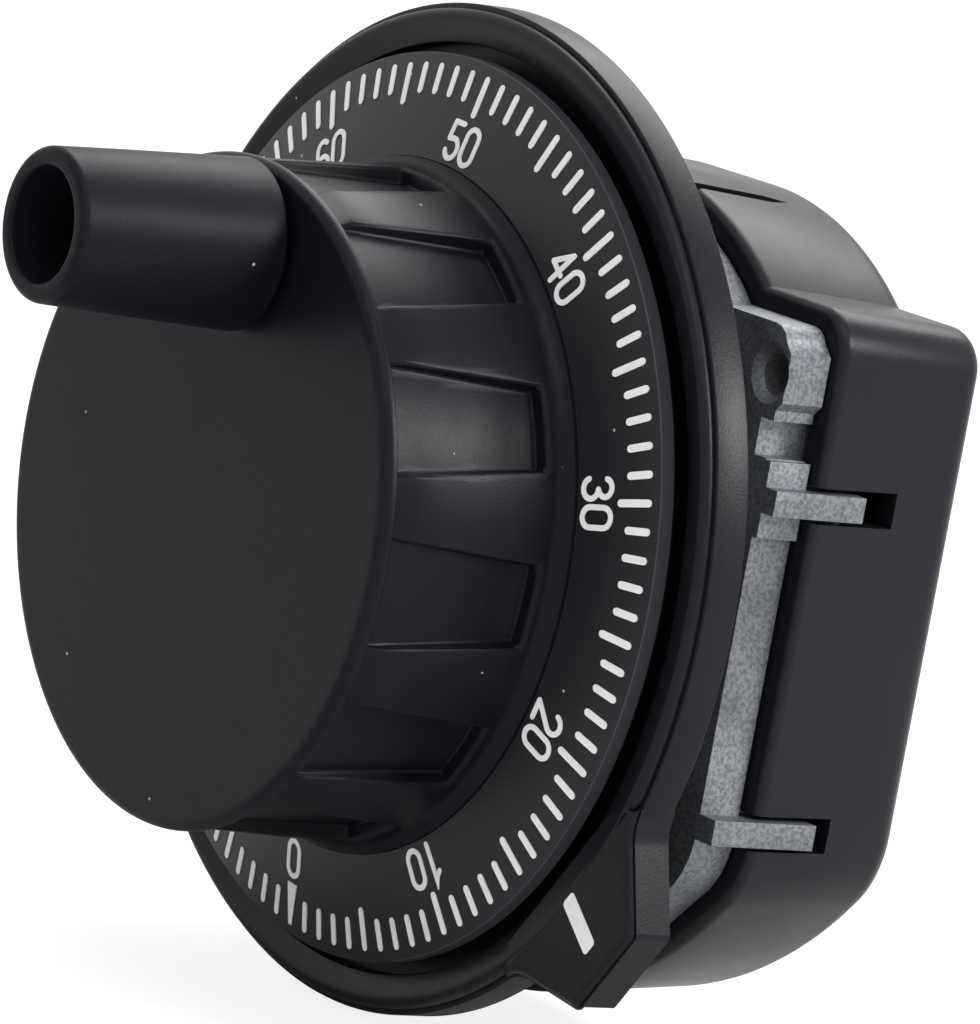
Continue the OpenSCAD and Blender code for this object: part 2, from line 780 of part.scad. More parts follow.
module cover_screws() {
    color(steel) face_on() for (p = cover_screw_places)
        translate([p[0], p[1], -cover_rear]) mirror([0, 0, 1])
            countersunk_screw(cover_screw_r, cover_screw_head_r - 0.1, cover_screw_l);
}

// ---- bearings ----

module race(r_out, r_in, low) {
    rotate_extrude() difference() {
        translate([r_in, low]) square([r_out - r_in, bearing_w]);
        translate([ball_circle_r, low + bearing_w / 2]) circle(ball_r + groove_clearance);
    }
}

module outer_race(low) {
    color(steel) face_on() race(bearing_r, ball_circle_r + race_gap, low);
}

module inner_race(low) {
    color(steel) face_on() race(ball_circle_r - race_gap, shaft_r, low);
}

module balls(low) {
    color(steel) face_on() for (i = [0:ball_count - 1])
        at_angle(360 * i / ball_count, ball_circle_r)
            translate([0, 0, low + bearing_w / 2]) sphere(ball_r);
}

module front_bearing_outer() outer_race(front_bearing_z);
module front_bearing_balls() balls(front_bearing_z);
module front_bearing_inner() inner_race(front_bearing_z);
module rear_bearing_outer() outer_race(rear_bearing_z);
module rear_bearing_balls() balls(rear_bearing_z);
module rear_bearing_inner() inner_race(rear_bearing_z);

// Sprung ring in the groove in front of the front bearing, open at the top
module bearing_retaining_ring() {
    low = front_bearing_z + bearing_w;
    color(steel) face_on() difference() {
        tube(bearing_r + clip_depth - 0.1, bearing_r - 0.8, low, low + clip_t - 0.1);
        translate([0, bearing_r, low]) cube([3, 4, 4], center = true);
    }
}

// ---- the wheel ----

// Outer form of the wheel with its lands, without pockets
module wheel_section() {
    foot = [dial_bore_r, dial_height(dial_bore_r)];
    foot_mid = [land_rear_r + foot_fillet_r, land_rear_h];
    foot_drop = sqrt(foot_fillet_r * foot_fillet_r - pow(foot_mid[0] - foot[0], 2));
    difference() {
        polygon([
            [0, wheel_h], [lip_r - lip_round, wheel_h], [lip_r, wheel_h - lip_round],
            [lip_r, lip_back], [groove_r, lip_back], [groove_r, lip_back - groove_w],
            [land_front_r, lip_back - groove_w - ramp_l], [land_rear_r, land_rear_h],
            [foot_mid[0], foot_mid[1]], [foot[0], foot_mid[1] - foot_drop],
            [foot[0], foot[1] - dial_t],
            [flange_r, dial_height(flange_r) - dial_t], [flange_r, flange_h], [0, flange_h]
        ]);
        translate(foot_mid) circle(foot_fillet_r);
    }
    translate([lip_r - lip_round, wheel_h - lip_round]) circle(lip_round);
}

module finger_pocket() {
    rotate([90, 0, 90]) linear_extrude(10) polygon([
        [-pocket_rear_w / 2, pocket_rear_h], [pocket_rear_w / 2, pocket_rear_h],
        [pocket_front_w / 2, lip_back], [-pocket_front_w / 2, lip_back]
    ]);
}

module handwheel() {
    color(satin_black) face_on() difference() {
        union() {
            difference() {
                rotate_extrude() wheel_section();
                for (i = [0:pocket_count - 1])
                    at_angle(zero_angle + 360 * i / pocket_count, pocket_floor_r - 2) finger_pocket();
            }
            post(pocket_floor_r, pocket_rear_h - 1, lip_back + 0.1);
        }
        // hollow, less the hub boss, the ribs and the crank boss
        difference() {
            post(hollow_r, flange_h - past, roof);
            post(hub_boss_r, hub_flange_h, roof + past);
            for (i = [0:rib_count - 1]) rotate(crank_angle + 360 * i / rib_count)
                translate([0, -wheel_rib_t / 2, roof - 4]) cube([hollow_r + 1, wheel_rib_t, 5]);
            at_angle(crank_angle, crank_r) post(insert_boss_r, wheel_h - insert_l - 2, roof + past);
        }
        post(hub_r, flange_h, hub_top);
        at_angle(crank_angle, crank_r) post(insert_r, wheel_h - insert_l - 2 - past, wheel_h + past);
        // holes through which the set screws are turned
        for (i = set_screw_pockets) rotate(zero_angle + 360 * i / pocket_count)
            translate([hub_r - 1, 0, set_screw_h]) rotate([0, 90, 0])
                cylinder(r = key_hole_r, h = lip_r);
    }
}

module wheel_hub() {
    color(brass) face_on() difference() {
        union() {
            post(hub_r, hub_flange_h, hub_top);
            post(hub_nose_r, front_bearing_z + bearing_w, hub_flange_h + 0.5);
        }
        post(shaft_r + shaft_clearance, tube_back, shaft_front);
        for (i = set_screw_pockets) rotate(zero_angle + 360 * i / pocket_count)
            translate([0, 0, set_screw_h]) rotate([0, 90, 0])
                cylinder(r = set_screw_r, h = hub_r + past);
    }
}

module hub_set_screws() {
    color(steel) face_on() for (i = set_screw_pockets)
        rotate(zero_angle + 360 * i / pocket_count)
            translate([shaft_r + 0.02, 0, set_screw_h]) rotate([0, 90, 0]) difference() {
                cylinder(r = set_screw_r, h = set_screw_l);
                translate([0, 0, set_screw_l - 1.2]) cylinder(r = 0.87, h = 2, $fn = 6);
            }
}

// Cone-shaped ring of anodised metal
module dial_ring() {
    color(dial_blue) face_on() rotate_extrude() polygon([
        [dial_bore_r, dial_height(dial_bore_r)],
        [dial_r - dial_chamfer, dial_height(dial_r - dial_chamfer)],
        [dial_r, dial_h - dial_chamfer], [dial_r, dial_h - dial_t],
        [dial_bore_r, dial_height(dial_bore_r) - dial_t]
    ]);
}

// Centre lines of the digits in a box 1 wide and 1 high on each side of the middle.
// Each digit is a list of strokes, broken where a stroke turns sharply.
function digit_strokes(d, w, h) =
    let (bowl = h - w)
    d == 0 ? [for (side = [1, -1]) [for (q = concat(arc([0, bowl], [w, w], 90, 0, 6),
        arc([0, -bowl], [w, w], 0, -90, 6))) [side * q[0], q[1]]]] :
    d == 1 ? [[[-0.65 * w, 0.62 * h], [-0.1 * w, 0.8 * h], [0.15 * w, h], [0.15 * w, -h]]] :
    d == 2 ? [concat(arc([0, bowl], [w, w], 170, -30, 12), [[-w, -h]]), [[-w, -h], [w, -h]]] :
    d == 3 ? [arc([0, h - w * 0.9], [w * 0.9, w * 0.9], 165, -80, 12),
        concat(arc([0, -h + w], [w, h - w * 0.9], 84, 0, 6), arc([0, -h + w], [w, w], 0, -165, 10))] :
    d == 4 ? [[[0.45 * w, -h], [0.45 * w, h]], [[0.45 * w, h], [-w, -0.3 * h]],
        [[-w, -0.3 * h], [w, -0.3 * h]]] :
    d == 5 ? [[[0.85 * w, h], [-0.7 * w, h]], [[-0.7 * w, h], [-0.9 * w, 0.05 * h]],
        concat([[-0.9 * w, 0.05 * h]], arc([0, -h + w * 1.05], [w, w * 1.05], 110, -160, 16))] :
    d == 6 ? [concat(arc([0, bowl], [w, w], 40, 180, 8), arc([0, -bowl], [w, w], 180, 360, 12)),
        arc([0, -bowl], [w, w * 1.05], 0, 180, 10)] :
    d == 7 ? [[[-w, h], [w, h]], [[w, h], [-0.2 * w, -0.1 * h], [-0.35 * w, -h]]] :
    d == 8 ? [for (side = [1, -1]) each [
        [for (q = arc([0, h - w * 0.85], [w * 0.85, w * 0.85], -90, 90, 10)) [side * q[0], q[1]]],
        [for (q = concat(arc([0, -h + w], [w, h - w * 0.75], 90, 0, 6),
            arc([0, -h + w], [w, w], 0, -90, 6))) [side * q[0], q[1]]]]] :
    [for (s = digit_strokes(6, w, h)) [for (p = s) -p]];

module digit(d) {
    w = (digit_w - stroke_w) / 2;
    h = (numeral_h - stroke_w) / 2;
    for (s = digit_strokes(d, w, h)) polygon(stroke_outline(s, stroke_w));
}

// A numeral of one or two digits, each laid on the dial by itself
module numeral(n, angle) {
    half = n < 10 ? 0 : (digit_w + numeral_gap) / 2 / numeral_r * 180 / PI;
    on_dial(angle - half, numeral_r) rotate(-90) digit(n % 10);
    if (n >= 10) on_dial(angle + half, numeral_r) rotate(-90) digit(floor(n / 10));
}

// White filling of the dial's lines and numerals
module dial_marks() {
    step = 360 / divisions;
    color(mark_white) face_on() {
        for (i = [1:divisions - 1]) {
            l = (i % 5 == 0 ? long_line : short_line) - line_w;
            on_dial(zero_angle + i * step, line_end_r - l / 2 - line_w / 2)
                polygon(stroke_outline([[-l / 2, 0], [l / 2, 0]], line_w));
        }
        // wedge on the zero line
        on_dial(zero_angle, line_end_r - long_line / 2)
            polygon([[-long_line / 2, -line_w * 1.1], [long_line / 2, -line_w * 0.35],
                [long_line / 2, line_w * 0.35], [-long_line / 2, line_w * 1.1]]);
        for (n = [0:10:divisions - 10]) numeral(n, zero_angle + n * step);
    }
}

// ---- crank grip ----

module at_crank() {
    at_angle(crank_angle, crank_r) children();
}

module grip() {
    color(satin_black) face_on() at_crank() rotate_extrude() {
        difference() {
            polygon([
                [shoulder_r + grip_clearance, grip_base_h], [grip_base_r - 0.4, grip_base_h],
                [grip_base_r, grip_base_h + 0.4], [grip_end_r, grip_end_h - grip_lip_r],
                [grip_end_r - grip_lip_r, grip_end_h], [grip_hollow_r + 0.3, grip_end_h],
                [grip_hollow_r, grip_end_h - 0.3], [grip_hollow_r, grip_seat_h],
                [shoulder_r + grip_clearance, grip_seat_h]
            ]);
        }
        intersection() {
            translate([grip_end_r - grip_lip_r, grip_end_h - grip_lip_r]) circle(grip_lip_r);
            translate([grip_hollow_r + 0.3, grip_end_h - 2]) square([4, 4]);
        }
    }
}

module grip_shoulder_screw() {
    seat = grip_seat_h + head_gap;
    color(steel) face_on() at_crank() difference() {
        union() {
            post(shoulder_r, wheel_h, seat + 0.5);
            post(shoulder_head_r - 0.3, seat, seat + head_h);
            post(shoulder_head_r, seat, seat + head_h - 0.3);
            post(crank_thread_r, wheel_h - insert_l, wheel_h + 0.5);
        }
        translate([0, 0, seat + head_h - hex_depth])
            cylinder(r = hex_af / sqrt(3), h = hex_depth + past, $fn = 6);
    }
}

module grip_washer() {
    color(satin_black) face_on() at_crank()
        tube(washer_r, shoulder_r + 0.02, wheel_h, wheel_h + washer_t);
}

module grip_insert() {
    color(brass) face_on() at_crank()
        tube(insert_r, crank_thread_r, wheel_h - insert_l - 2, wheel_h);
}

// ---- shaft and encoder ----

module shaft() {
    color(steel) face_on() union() {
        post(shaft_r, shaft_back, shaft_front);
        // shoulder between the bearings
        post(journal_r, rear_bearing_z + bearing_w, rear_bearing_z + bearing_w + 1.5);
    }
}

// Sleeve that sets the distance between the two inner races
module spacer_sleeve() {
    color(steel) face_on()
        tube(journal_r, shaft_r + shaft_clearance, rear_bearing_z + bearing_w + 1.5, front_bearing_z);
}

// Steel rotor whose teeth click past the magnet
module detent_rotor() {
    step = 360 / detent_teeth;
    root = detent_r - tooth_depth;
    color(steel) face_on() difference() {
        union() {
            translate([0, 0, hub_z]) linear_extrude(detent_t) polygon([
                for (i = [0:detent_teeth - 1]) for (corner = [[-0.3, root], [-0.2, detent_r],
                    [0.2, detent_r], [0.3, root]])
                    corner[1] * [cos((i + corner[0]) * step), sin((i + corner[0]) * step)]
            ]);
            post(journal_r, rotor_z - 0.5, rear_bearing_z);
        }
        post(shaft_r + shaft_clearance, hub_z - past, rear_bearing_z + past);
    }
}

module disc_hub() {
    color(brass) face_on()
        tube(disc_hub_r, shaft_r + shaft_clearance, disc_z, hub_z);
}

// Thin disc with one slit for each division
module code_disc() {
    color(steel) face_on() difference() {
        tube(disc_r, shaft_r + shaft_clearance, disc_z - disc_t, disc_z);
        for (i = [0:divisions - 1]) rotate(360 * i / divisions)
            translate([slit_end_r - slit_l, -slit_w / 2, disc_z - disc_t - past])
                cube([slit_l, slit_w, disc_t + 2 * past]);
    }
}

module disc_clamp() {
    color(steel) face_on()
        tube(disc_hub_r - 1, shaft_r + shaft_clearance, disc_z - disc_t - clamp_t, disc_z - disc_t);
}

module detent_magnet() {
    color("#55585c") face_on() rotate(magnet_angle)
        translate([detent_r + detent_gap, -magnet_w / 2, hub_z + 0.1])
            cube([magnet_l, magnet_w, magnet_t]);
}

// Bracket that holds the magnet against the frame's plate
module magnet_holder() {
    low = hub_z + 0.1;
    start = detent_r + detent_gap;
    color(zinc) face_on() rotate(magnet_angle) difference() {
        translate([start, -magnet_w / 2 - holder_wall, low])
            cube([magnet_l + holder_foot_l, magnet_w + 2 * holder_wall, plate_back - low]);
        translate([start - past, -magnet_w / 2, low - past])
            cube([magnet_l + past, magnet_w, magnet_t + past]);
        translate([start + magnet_l + holder_foot_l / 2 + 0.3, 0, 0])
            post(1.4, low - past, plate_back + past);
    }
}

module magnet_screw() {
    low = hub_z + 0.1;
    place = detent_r + detent_gap + magnet_l + holder_foot_l / 2 + 0.3;
    color(steel) face_on() rotate(magnet_angle) translate([place, 0, 0]) difference() {
        union() {
            post(2.3, low - 1.4, low);
            post(1.25, low - 0.5, plate_back);
        }
        translate([0, 0, low - 1.4]) cube([3.4, 0.6, 1.2], center = true);
    }
}

module circuit_board() {
    color(board_green) face_on() difference() {
        post(board_r, board_back, -board_depth);
        for (a = board_screw_angles) at_angle(a, board_screw_r)
            post(pilot_r + 0.25, board_back - past, -board_depth + past);
    }
}

module board_screws() {
    color(steel) face_on() for (a = board_screw_angles) at_angle(a, board_screw_r)
        translate([0, 0, board_back]) difference() {
            union() {
                post(board_screw_head_r, -1.3, 0);
                post(pilot_r, -0.5, board_t + board_screw_l - 0.5);
            }
            translate([0, 0, -1.3]) cube([3.2, 0.6, 1.2], center = true);
        }
}

// U-shaped light barrier that reaches round the edge of the code disc
module sensor_block() {
    depth = sensor_front + board_depth;
    reach = disc_r + 0.7 + sensor_wall - sensor_in_r;
    color("#1d1d20") face_on() rotate(sensor_angle) difference() {
        translate([sensor_in_r, -sensor_w / 2, -board_depth]) cube([reach, sensor_w, depth]);
        translate([sensor_in_r - past, -sensor_w / 2 - past, disc_z - disc_t - sensor_gap - 0.4])
            cube([disc_r + 0.7 - sensor_in_r + past, sensor_w + 2 * past, disc_t + 2 * sensor_gap + 0.4]);
    }
}

// Slotted plate in front of the light detectors
module slit_mask() {
    low = disc_z - disc_t - sensor_gap - 0.4;
    color(steel) face_on() rotate(sensor_angle) difference() {
        translate([sensor_in_r + 0.3, -sensor_w / 2 + 1, low])
            cube([slit_l + 2.2, sensor_w - 2, 0.3]);
        for (i = [-3:3]) rotate(i * 360 / divisions * 1.25)
            translate([slit_end_r - slit_l, -slit_w / 2, low - past]) cube([slit_l, slit_w, 2 * past]);
    }
}

module terminal_block() {
    first = -(terminal_count - 1) / 2 * terminal_pitch;
    color("#1c1c1f") face_on() difference() {
        translate([-terminal_w / 2, terminal_y - terminal_h / 2, board_back - terminal_depth])
            cube([terminal_w, terminal_h, terminal_depth]);
        for (i = [0:terminal_count - 1]) translate([first + i * terminal_pitch, terminal_y, 0]) {
            // screw well
            translate([0, terminal_well_y, 0]) post(terminal_well_r,
                board_back - terminal_depth - past, board_back - terminal_depth + terminal_well_depth);
            // wire entry
            translate([-wire_entry_w / 2, -terminal_h / 2 - past,
                board_back - terminal_depth + terminal_well_y])
                cube([wire_entry_w, wire_entry_l, wire_entry_h]);
        }
    }
}

module terminal_screws() {
    first = -(terminal_count - 1) / 2 * terminal_pitch;
    floor_z = board_back - terminal_depth + terminal_well_depth;
    top = floor_z - terminal_well_depth * 0.6;
    color(steel) face_on() for (i = [0:terminal_count - 1])
        translate([first + i * terminal_pitch, terminal_y + terminal_well_y, 0]) difference() {
            post(terminal_screw_r, top, floor_z);
            translate([0, 0, top])
                cube([terminal_well_r * 2, terminal_slot_w, terminal_slot_w * 2], center = true);
        }
}

index_ring();
index_mark();
ring_screws();
frame();
rear_cover();
cover_screws();
front_bearing_outer();
front_bearing_balls();
front_bearing_inner();
rear_bearing_outer();
rear_bearing_balls();
rear_bearing_inner();
bearing_retaining_ring();
handwheel();
wheel_hub();
hub_set_screws();
dial_ring();
dial_marks();
grip();
grip_shoulder_screw();
grip_washer();
grip_insert();
shaft();
spacer_sleeve();
detent_rotor();
disc_hub();
code_disc();
disc_clamp();
detent_magnet();
magnet_holder();
magnet_screw();
circuit_board();
board_screws();
sensor_block();
slit_mask();
terminal_block();
terminal_screws();
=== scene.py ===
import json
import math

import bmesh
import bpy
from mathutils import Matrix, Vector

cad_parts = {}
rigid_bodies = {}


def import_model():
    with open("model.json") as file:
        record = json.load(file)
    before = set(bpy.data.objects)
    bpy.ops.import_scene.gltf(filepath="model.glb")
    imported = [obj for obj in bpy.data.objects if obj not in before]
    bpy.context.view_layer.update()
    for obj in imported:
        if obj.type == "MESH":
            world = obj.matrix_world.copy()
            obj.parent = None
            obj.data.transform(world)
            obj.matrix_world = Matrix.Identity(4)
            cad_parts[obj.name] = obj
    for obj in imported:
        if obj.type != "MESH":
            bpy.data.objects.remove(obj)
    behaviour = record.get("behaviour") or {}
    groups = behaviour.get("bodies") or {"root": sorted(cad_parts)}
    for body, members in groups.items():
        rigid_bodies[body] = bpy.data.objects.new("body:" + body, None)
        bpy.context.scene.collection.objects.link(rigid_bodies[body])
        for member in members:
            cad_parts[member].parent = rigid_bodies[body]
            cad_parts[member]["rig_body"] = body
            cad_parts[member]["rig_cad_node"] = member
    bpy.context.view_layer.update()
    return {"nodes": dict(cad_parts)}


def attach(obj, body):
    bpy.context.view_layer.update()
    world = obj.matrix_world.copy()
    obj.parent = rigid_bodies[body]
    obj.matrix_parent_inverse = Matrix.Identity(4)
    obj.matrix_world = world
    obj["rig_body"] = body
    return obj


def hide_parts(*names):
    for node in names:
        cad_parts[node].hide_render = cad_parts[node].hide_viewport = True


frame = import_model()
cad = frame["nodes"]

# ---- Index ring ----
# The fixed ring in front of the panel, moulded in black plastic. Its rounded ridge and flat
# side band run on round the pointer tab. Three countersunk screws under the dial hold it on
# the frame.
MM = 0.001
RING_R, RING_T, RING_WALL_R, RING_HOLE_R, RING_FLOOR = 40, 4, 36.8, 24, 1.8
BAND_TOP, RIDGE_INSET, RIDGE_R, FACE_DISH = 3.1, 0.45, 0.7, 0.45
REAR_CHAMFER, BAND_ROUND = 0.3, 0.15
TAB_R, TAB_TIP, TAB_FLANK, TAB_FILLET, TAB_ROUND = 46, 8.8, 33, 4, 0.6
TAB_BEVEL, TAB_GROOVE, TAB_GROOVE_W, TAB_TOP = 0.6, 0.22, 0.2, RING_T - 0.03
TAB_INNER_X, TAB_INNER_R, TAB_FREE_R, TAB_SUNK = 36.9, 34.04, 38.5, 0.05
POINTER_ANGLE = -37.6


class Value:
    """A socket of a finish, which takes part in sums."""

    def __init__(self, finish, socket):
        self.finish, self.socket = finish, socket

    def maths(self, operation, *terms):
        sockets = dict(enumerate(terms))
        return self.finish.add("ShaderNodeMath", {"operation": operation}, sockets)

    def __add__(self, other):
        return self.maths("ADD", self, other)

    def __sub__(self, other):
        return self.maths("SUBTRACT", self, other)

    def __rsub__(self, other):
        return self.maths("SUBTRACT", other, self)

    def __mul__(self, other):
        return self.maths("MULTIPLY", self, other)

    def __gt__(self, other):
        return self.maths("GREATER_THAN", self, other)

    def __lt__(self, other):
        return self.maths("LESS_THAN", self, other)

    __radd__, __rmul__ = __add__, __mul__

    def sine(self):
        return self.maths("SINE", self)


class Nodes:
    """The shader nodes of a material or of the surround."""

    def __init__(self, owner):
        owner.use_nodes = True
        self.nodes, self.links = owner.node_tree.nodes, owner.node_tree.links

    def feed(self, node, sockets):
        for name, value in sockets.items():
            if isinstance(value, Value):
                self.links.new(value.socket, node.inputs[name])
            else:
                node.inputs[name].default_value = value

    def add(self, kind, settings, sockets, output=0):
        node = self.nodes.new(kind)
        for name, value in settings.items():
            if name == "stops":
                ramp = node.color_ramp.elements
                ramp[0].position, ramp[-1].position = value[0][0], value[-1][0]
                for place, _ in value[1:-1]:
                    ramp.new(place)
                for element, (_, shade) in zip(ramp, value):
                    element.color = (*shade, 1)
            else:
                setattr(node, name, value)
        self.feed(node, sockets)
        return Value(self, node.outputs[output])


class Finish(Nodes):
    """A material with one glossy shader, whose pattern lies on the object's own axes."""

    def __init__(self, name, colour, **fixed):
        self.material = bpy.data.materials.new(name)
        super().__init__(self.material)
        self.shader = self.nodes["Principled BSDF"]
        self.feed(self.shader, {"Base Color": (*colour, 1)})
        self.feed(self.shader, {k.replace("_", " "): v for k, v in fixed.items()})
        self.place = self.add("ShaderNodeTexCoord", {}, {}, "Object")

    def noise(self, size, detail=2, rough=0.5):
        """Cloudy noise whose blots are about size metres across."""
        sockets = {"Vector": self.place, "Scale": 1 / size, "Detail": detail, "Roughness": rough}
        return self.add("ShaderNodeTexNoise", {}, sockets)

    def specks(self, spacing, size, share):
        """1 on small round specks of one in so many cells, and 0 elsewhere."""
        cells = {"Vector": self.place, "Scale": 1 / spacing}
        distance = self.add("ShaderNodeTexVoronoi", {}, cells)
        chance = self.add("ShaderNodeTexVoronoi", {}, cells, "Color")
        red = self.add("ShaderNodeSeparateColor", {}, {"Color": chance})
        return (distance < red * (size / spacing)) * (red > 1 - share)

    def ramp(self, factor, *stops):
        return self.add("ShaderNodeValToRGB", {"stops": stops}, {"Fac": factor})

    def mix(self, factor, first, second, blend="MIX"):
        colours = [c if isinstance(c, Value) else (*c, 1) for c in (first, second)]
        settings = {"data_type": "RGBA", "blend_type": blend}
        return self.add("ShaderNodeMix", settings, {0: factor, 6: colours[0], 7: colours[1]}, 2)

    def bump(self, height, depth):
        """Relief of a height from 0 to 1, depth metres deep."""
        sockets = {"Height": height, "Distance": depth, "Strength": 1}
        self.feed(self.shader, {"Normal": self.add("ShaderNodeBump", {}, sockets)})


def moulded(name, colour, rough, gloss, grain, dust):
    """Moulded plastic: a fine grain, faint flow clouds, rubbed patches and a little dust."""
    finish = Finish(name, colour, IOR=1.45, Specular_IOR_Level=gloss)
    fine = finish.noise(0.00022, 2, 0.6)
    clouds = finish.noise(0.012, 4, 0.55)
    streaks = finish.noise(0.0035, 3, 0.6)
    lint = finish.specks(0.0017, 0.00013, dust)
    darker, lighter = ([c * k for c in colour] for k in (0.8, 1.25))
    body = finish.mix(clouds, darker, lighter)
    uneven = (clouds - 0.5) * 0.10 + (streaks - 0.5) * 0.08 + (fine - 0.5) * 0.08
    finish.feed(finish.shader, {
        "Base Color": finish.mix(lint, body, (0.42, 0.42, 0.43)),
        "Roughness": rough + uneven})
    finish.bump(fine * 0.7 + streaks * 0.3, grain)
    return finish.material


def named(name):
    """Names the piece that has just been added, and its mesh."""
    piece = bpy.context.active_object
    piece.name = piece.data.name = name
    return piece


def turned(name, section, steps=240, centre=(0, 0)):
    """A closed section, as (radius, height) in millimetres, spun round an axis along Y."""
    bpy.ops.object.select_all(action="DESELECT")
    bpy.ops.mesh.primitive_circle_add(vertices=len(section), radius=MM)
    piece = named(name)
    middle = Vector((centre[0], 0, centre[1])) * MM
    for vertex, (radius, height) in zip(piece.data.vertices, section):
        vertex.co = middle + Vector((radius, -height, 0)) * MM
    bpy.ops.object.mode_set(mode="EDIT")
    bpy.ops.mesh.select_all(action="SELECT")
    bpy.ops.mesh.spin(steps=steps, angle=math.tau, center=middle, axis=(0, 1, 0))
    tidy_faces()
    return piece


def face_outwards():
    """Turns all faces outwards and leaves edit mode."""
    bpy.ops.mesh.select_all(action="SELECT")
    bpy.ops.mesh.normals_make_consistent(inside=False)
    bpy.ops.object.mode_set(mode="OBJECT")


def tidy_faces():
    """Merges doubles, turns all faces outwards and leaves edit mode."""
    bpy.ops.mesh.select_all(action="SELECT")
    bpy.ops.mesh.remove_doubles(threshold=2e-6)
    bpy.ops.mesh.dissolve_degenerate(threshold=1e-7)
    face_outwards()


def arc(centre, radius, start, end, steps):
    """Points along an arc, with the angles in degrees."""
    turns = [math.radians(start + (end - start) * i / steps) for i in range(steps + 1)]
    return [(centre[0] + radius * math.cos(a), centre[1] + radius * math.sin(a)) for a in turns]


def choose(kind, test):
    """In edit mode, selects the faces or edges that pass a test of their middle."""
    bpy.ops.mesh.select_mode(type=kind)
    bpy.ops.mesh.select_all(action="DESELECT")
    form = bmesh.from_edit_mesh(bpy.context.active_object.data)
    form.normal_update()
    for item in form.faces if kind == "FACE" else form.edges:
        middle = sum((v.co for v in item.verts), Vector()) / len(item.verts)
        item.select_set(bool(test(middle, item)))
    bmesh.update_edit_mesh(bpy.context.active_object.data)


def pull(*shift):
    """Extrudes what is selected."""
    bpy.ops.mesh.extrude_region_move(TRANSFORM_OT_translate={"value": shift})


def slab(name, outline, low, high):
    """A filled outline of the front view, in millimetres, pulled out from low to high."""
    bpy.ops.object.select_all(action="DESELECT")
    bpy.ops.mesh.primitive_circle_add(vertices=len(outline), radius=MM)
    piece = named(name)
    for vertex, (x, up) in zip(piece.data.vertices, outline):
        vertex.co = Vector((x, -low, up)) * MM
    bpy.ops.object.mode_set(mode="EDIT")
    bpy.ops.mesh.select_all(action="SELECT")
    bpy.ops.mesh.edge_face_add()
    pull(0, (low - high) * MM, 0)
    return piece


def finished(piece, material, angle=32):
    """Gives a piece its finish, and shades it smooth but for edges above an angle."""
    piece.data.materials.append(material)
    bpy.ops.object.select_all(action="DESELECT")
    piece.select_set(True)
    bpy.context.view_layer.objects.active = piece
    bpy.ops.object.shade_smooth_by_angle(angle=math.radians(angle))


crest_r, face_h = RING_R - RIDGE_INSET - RIDGE_R, RING_T - FACE_DISH
section = [(RING_HOLE_R, 0), (RING_R - REAR_CHAMFER, 0), (RING_R, REAR_CHAMFER),
           (RING_R, BAND_TOP - BAND_ROUND), (RING_R - 0.04, BAND_TOP - 0.04),
           (RING_R - BAND_ROUND, BAND_TOP), (RING_R - RIDGE_INSET, BAND_TOP)]
section += arc((crest_r, RING_T - RIDGE_R), RIDGE_R, 0, 90, 9)
section += [(crest_r - 0.35, RING_T - 0.04), (crest_r - 0.7, RING_T - 0.14),
            (RING_WALL_R + 0.25, face_h + 0.03), (RING_WALL_R + 0.07, face_h - 0.05),
            (RING_WALL_R, face_h - 0.2), (RING_WALL_R, RING_FLOOR), (RING_HOLE_R, RING_FLOOR)]
ring = turned("index_ring_body", section, 288)

# The tab is a slab that leaves the ring in hollow fillets. Its outline is worked out along
# the X axis, with each fillet tangent to the flank and to the ring, and then turned.
flank, tip_y = math.radians(TAB_FLANK), TAB_TIP / 2
start_x = TAB_R + math.sin(flank) * TAB_FILLET
start_y = tip_y + math.cos(flank) * TAB_FILLET
along = start_y * math.sin(flank) - start_x * math.cos(flank)
reach = RING_R - TAB_SUNK + TAB_FILLET
run = -along - math.sqrt(along ** 2 - start_x ** 2 - start_y ** 2 + reach ** 2)
fillet_mid = (start_x - math.cos(flank) * run, start_y + math.sin(flank) * run)
first = math.degrees(math.atan2(-fillet_mid[1], -fillet_mid[0]))
round_mid = (TAB_R - TAB_ROUND,
             tip_y - TAB_ROUND * math.tan(math.radians(45 - TAB_FLANK / 2)))
half = [(TAB_INNER_X, fillet_mid[1] * TAB_INNER_R / math.hypot(*fillet_mid))]
half += arc(fillet_mid, TAB_FILLET, first, -90 - TAB_FLANK, 10)
half += arc(round_mid, TAB_ROUND, 90 - TAB_FLANK, 0, 5)
turn = math.radians(POINTER_ANGLE)
outline = [(x * math.cos(turn) - y * math.sin(turn), x * math.sin(turn) + y * math.cos(turn))
           for x, y in half + [(x, -y) for x, y in reversed(half)]]
tab = slab("index_tab", outline, 0, BAND_TOP)
for rise in (TAB_GROOVE_W, TAB_TOP - BAND_TOP - TAB_GROOVE_W):
    pull(0, -rise * MM, 0)


def past_ring(middle):
    return math.hypot(middle.x, middle.z) > TAB_FREE_R * MM


choose("EDGE", lambda m, e: past_ring(m)
       and all(abs(v.co.y + TAB_TOP * MM) < 1e-6 for v in e.verts))
bpy.ops.mesh.bevel(offset=TAB_BEVEL * MM, segments=3, profile=0.5)
choose("FACE", lambda m, f: past_ring(m)
       and abs(m.y + (BAND_TOP + TAB_GROOVE_W / 2) * MM) < 3e-5)
bpy.ops.mesh.extrude_region_shrink_fatten(
    TRANSFORM_OT_shrink_fatten={"value": -TAB_GROOVE * MM})
tidy_faces()
ring.select_set(True)
tab.select_set(True)
bpy.context.view_layer.objects.active = ring
bpy.ops.object.join()
finished(ring, moulded("ring_plastic", (0.0066, 0.0062, 0.0092), rough=0.35, gloss=0.20,
                       grain=0.000022, dust=0.03))
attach(ring, "housing")
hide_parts("index_ring")

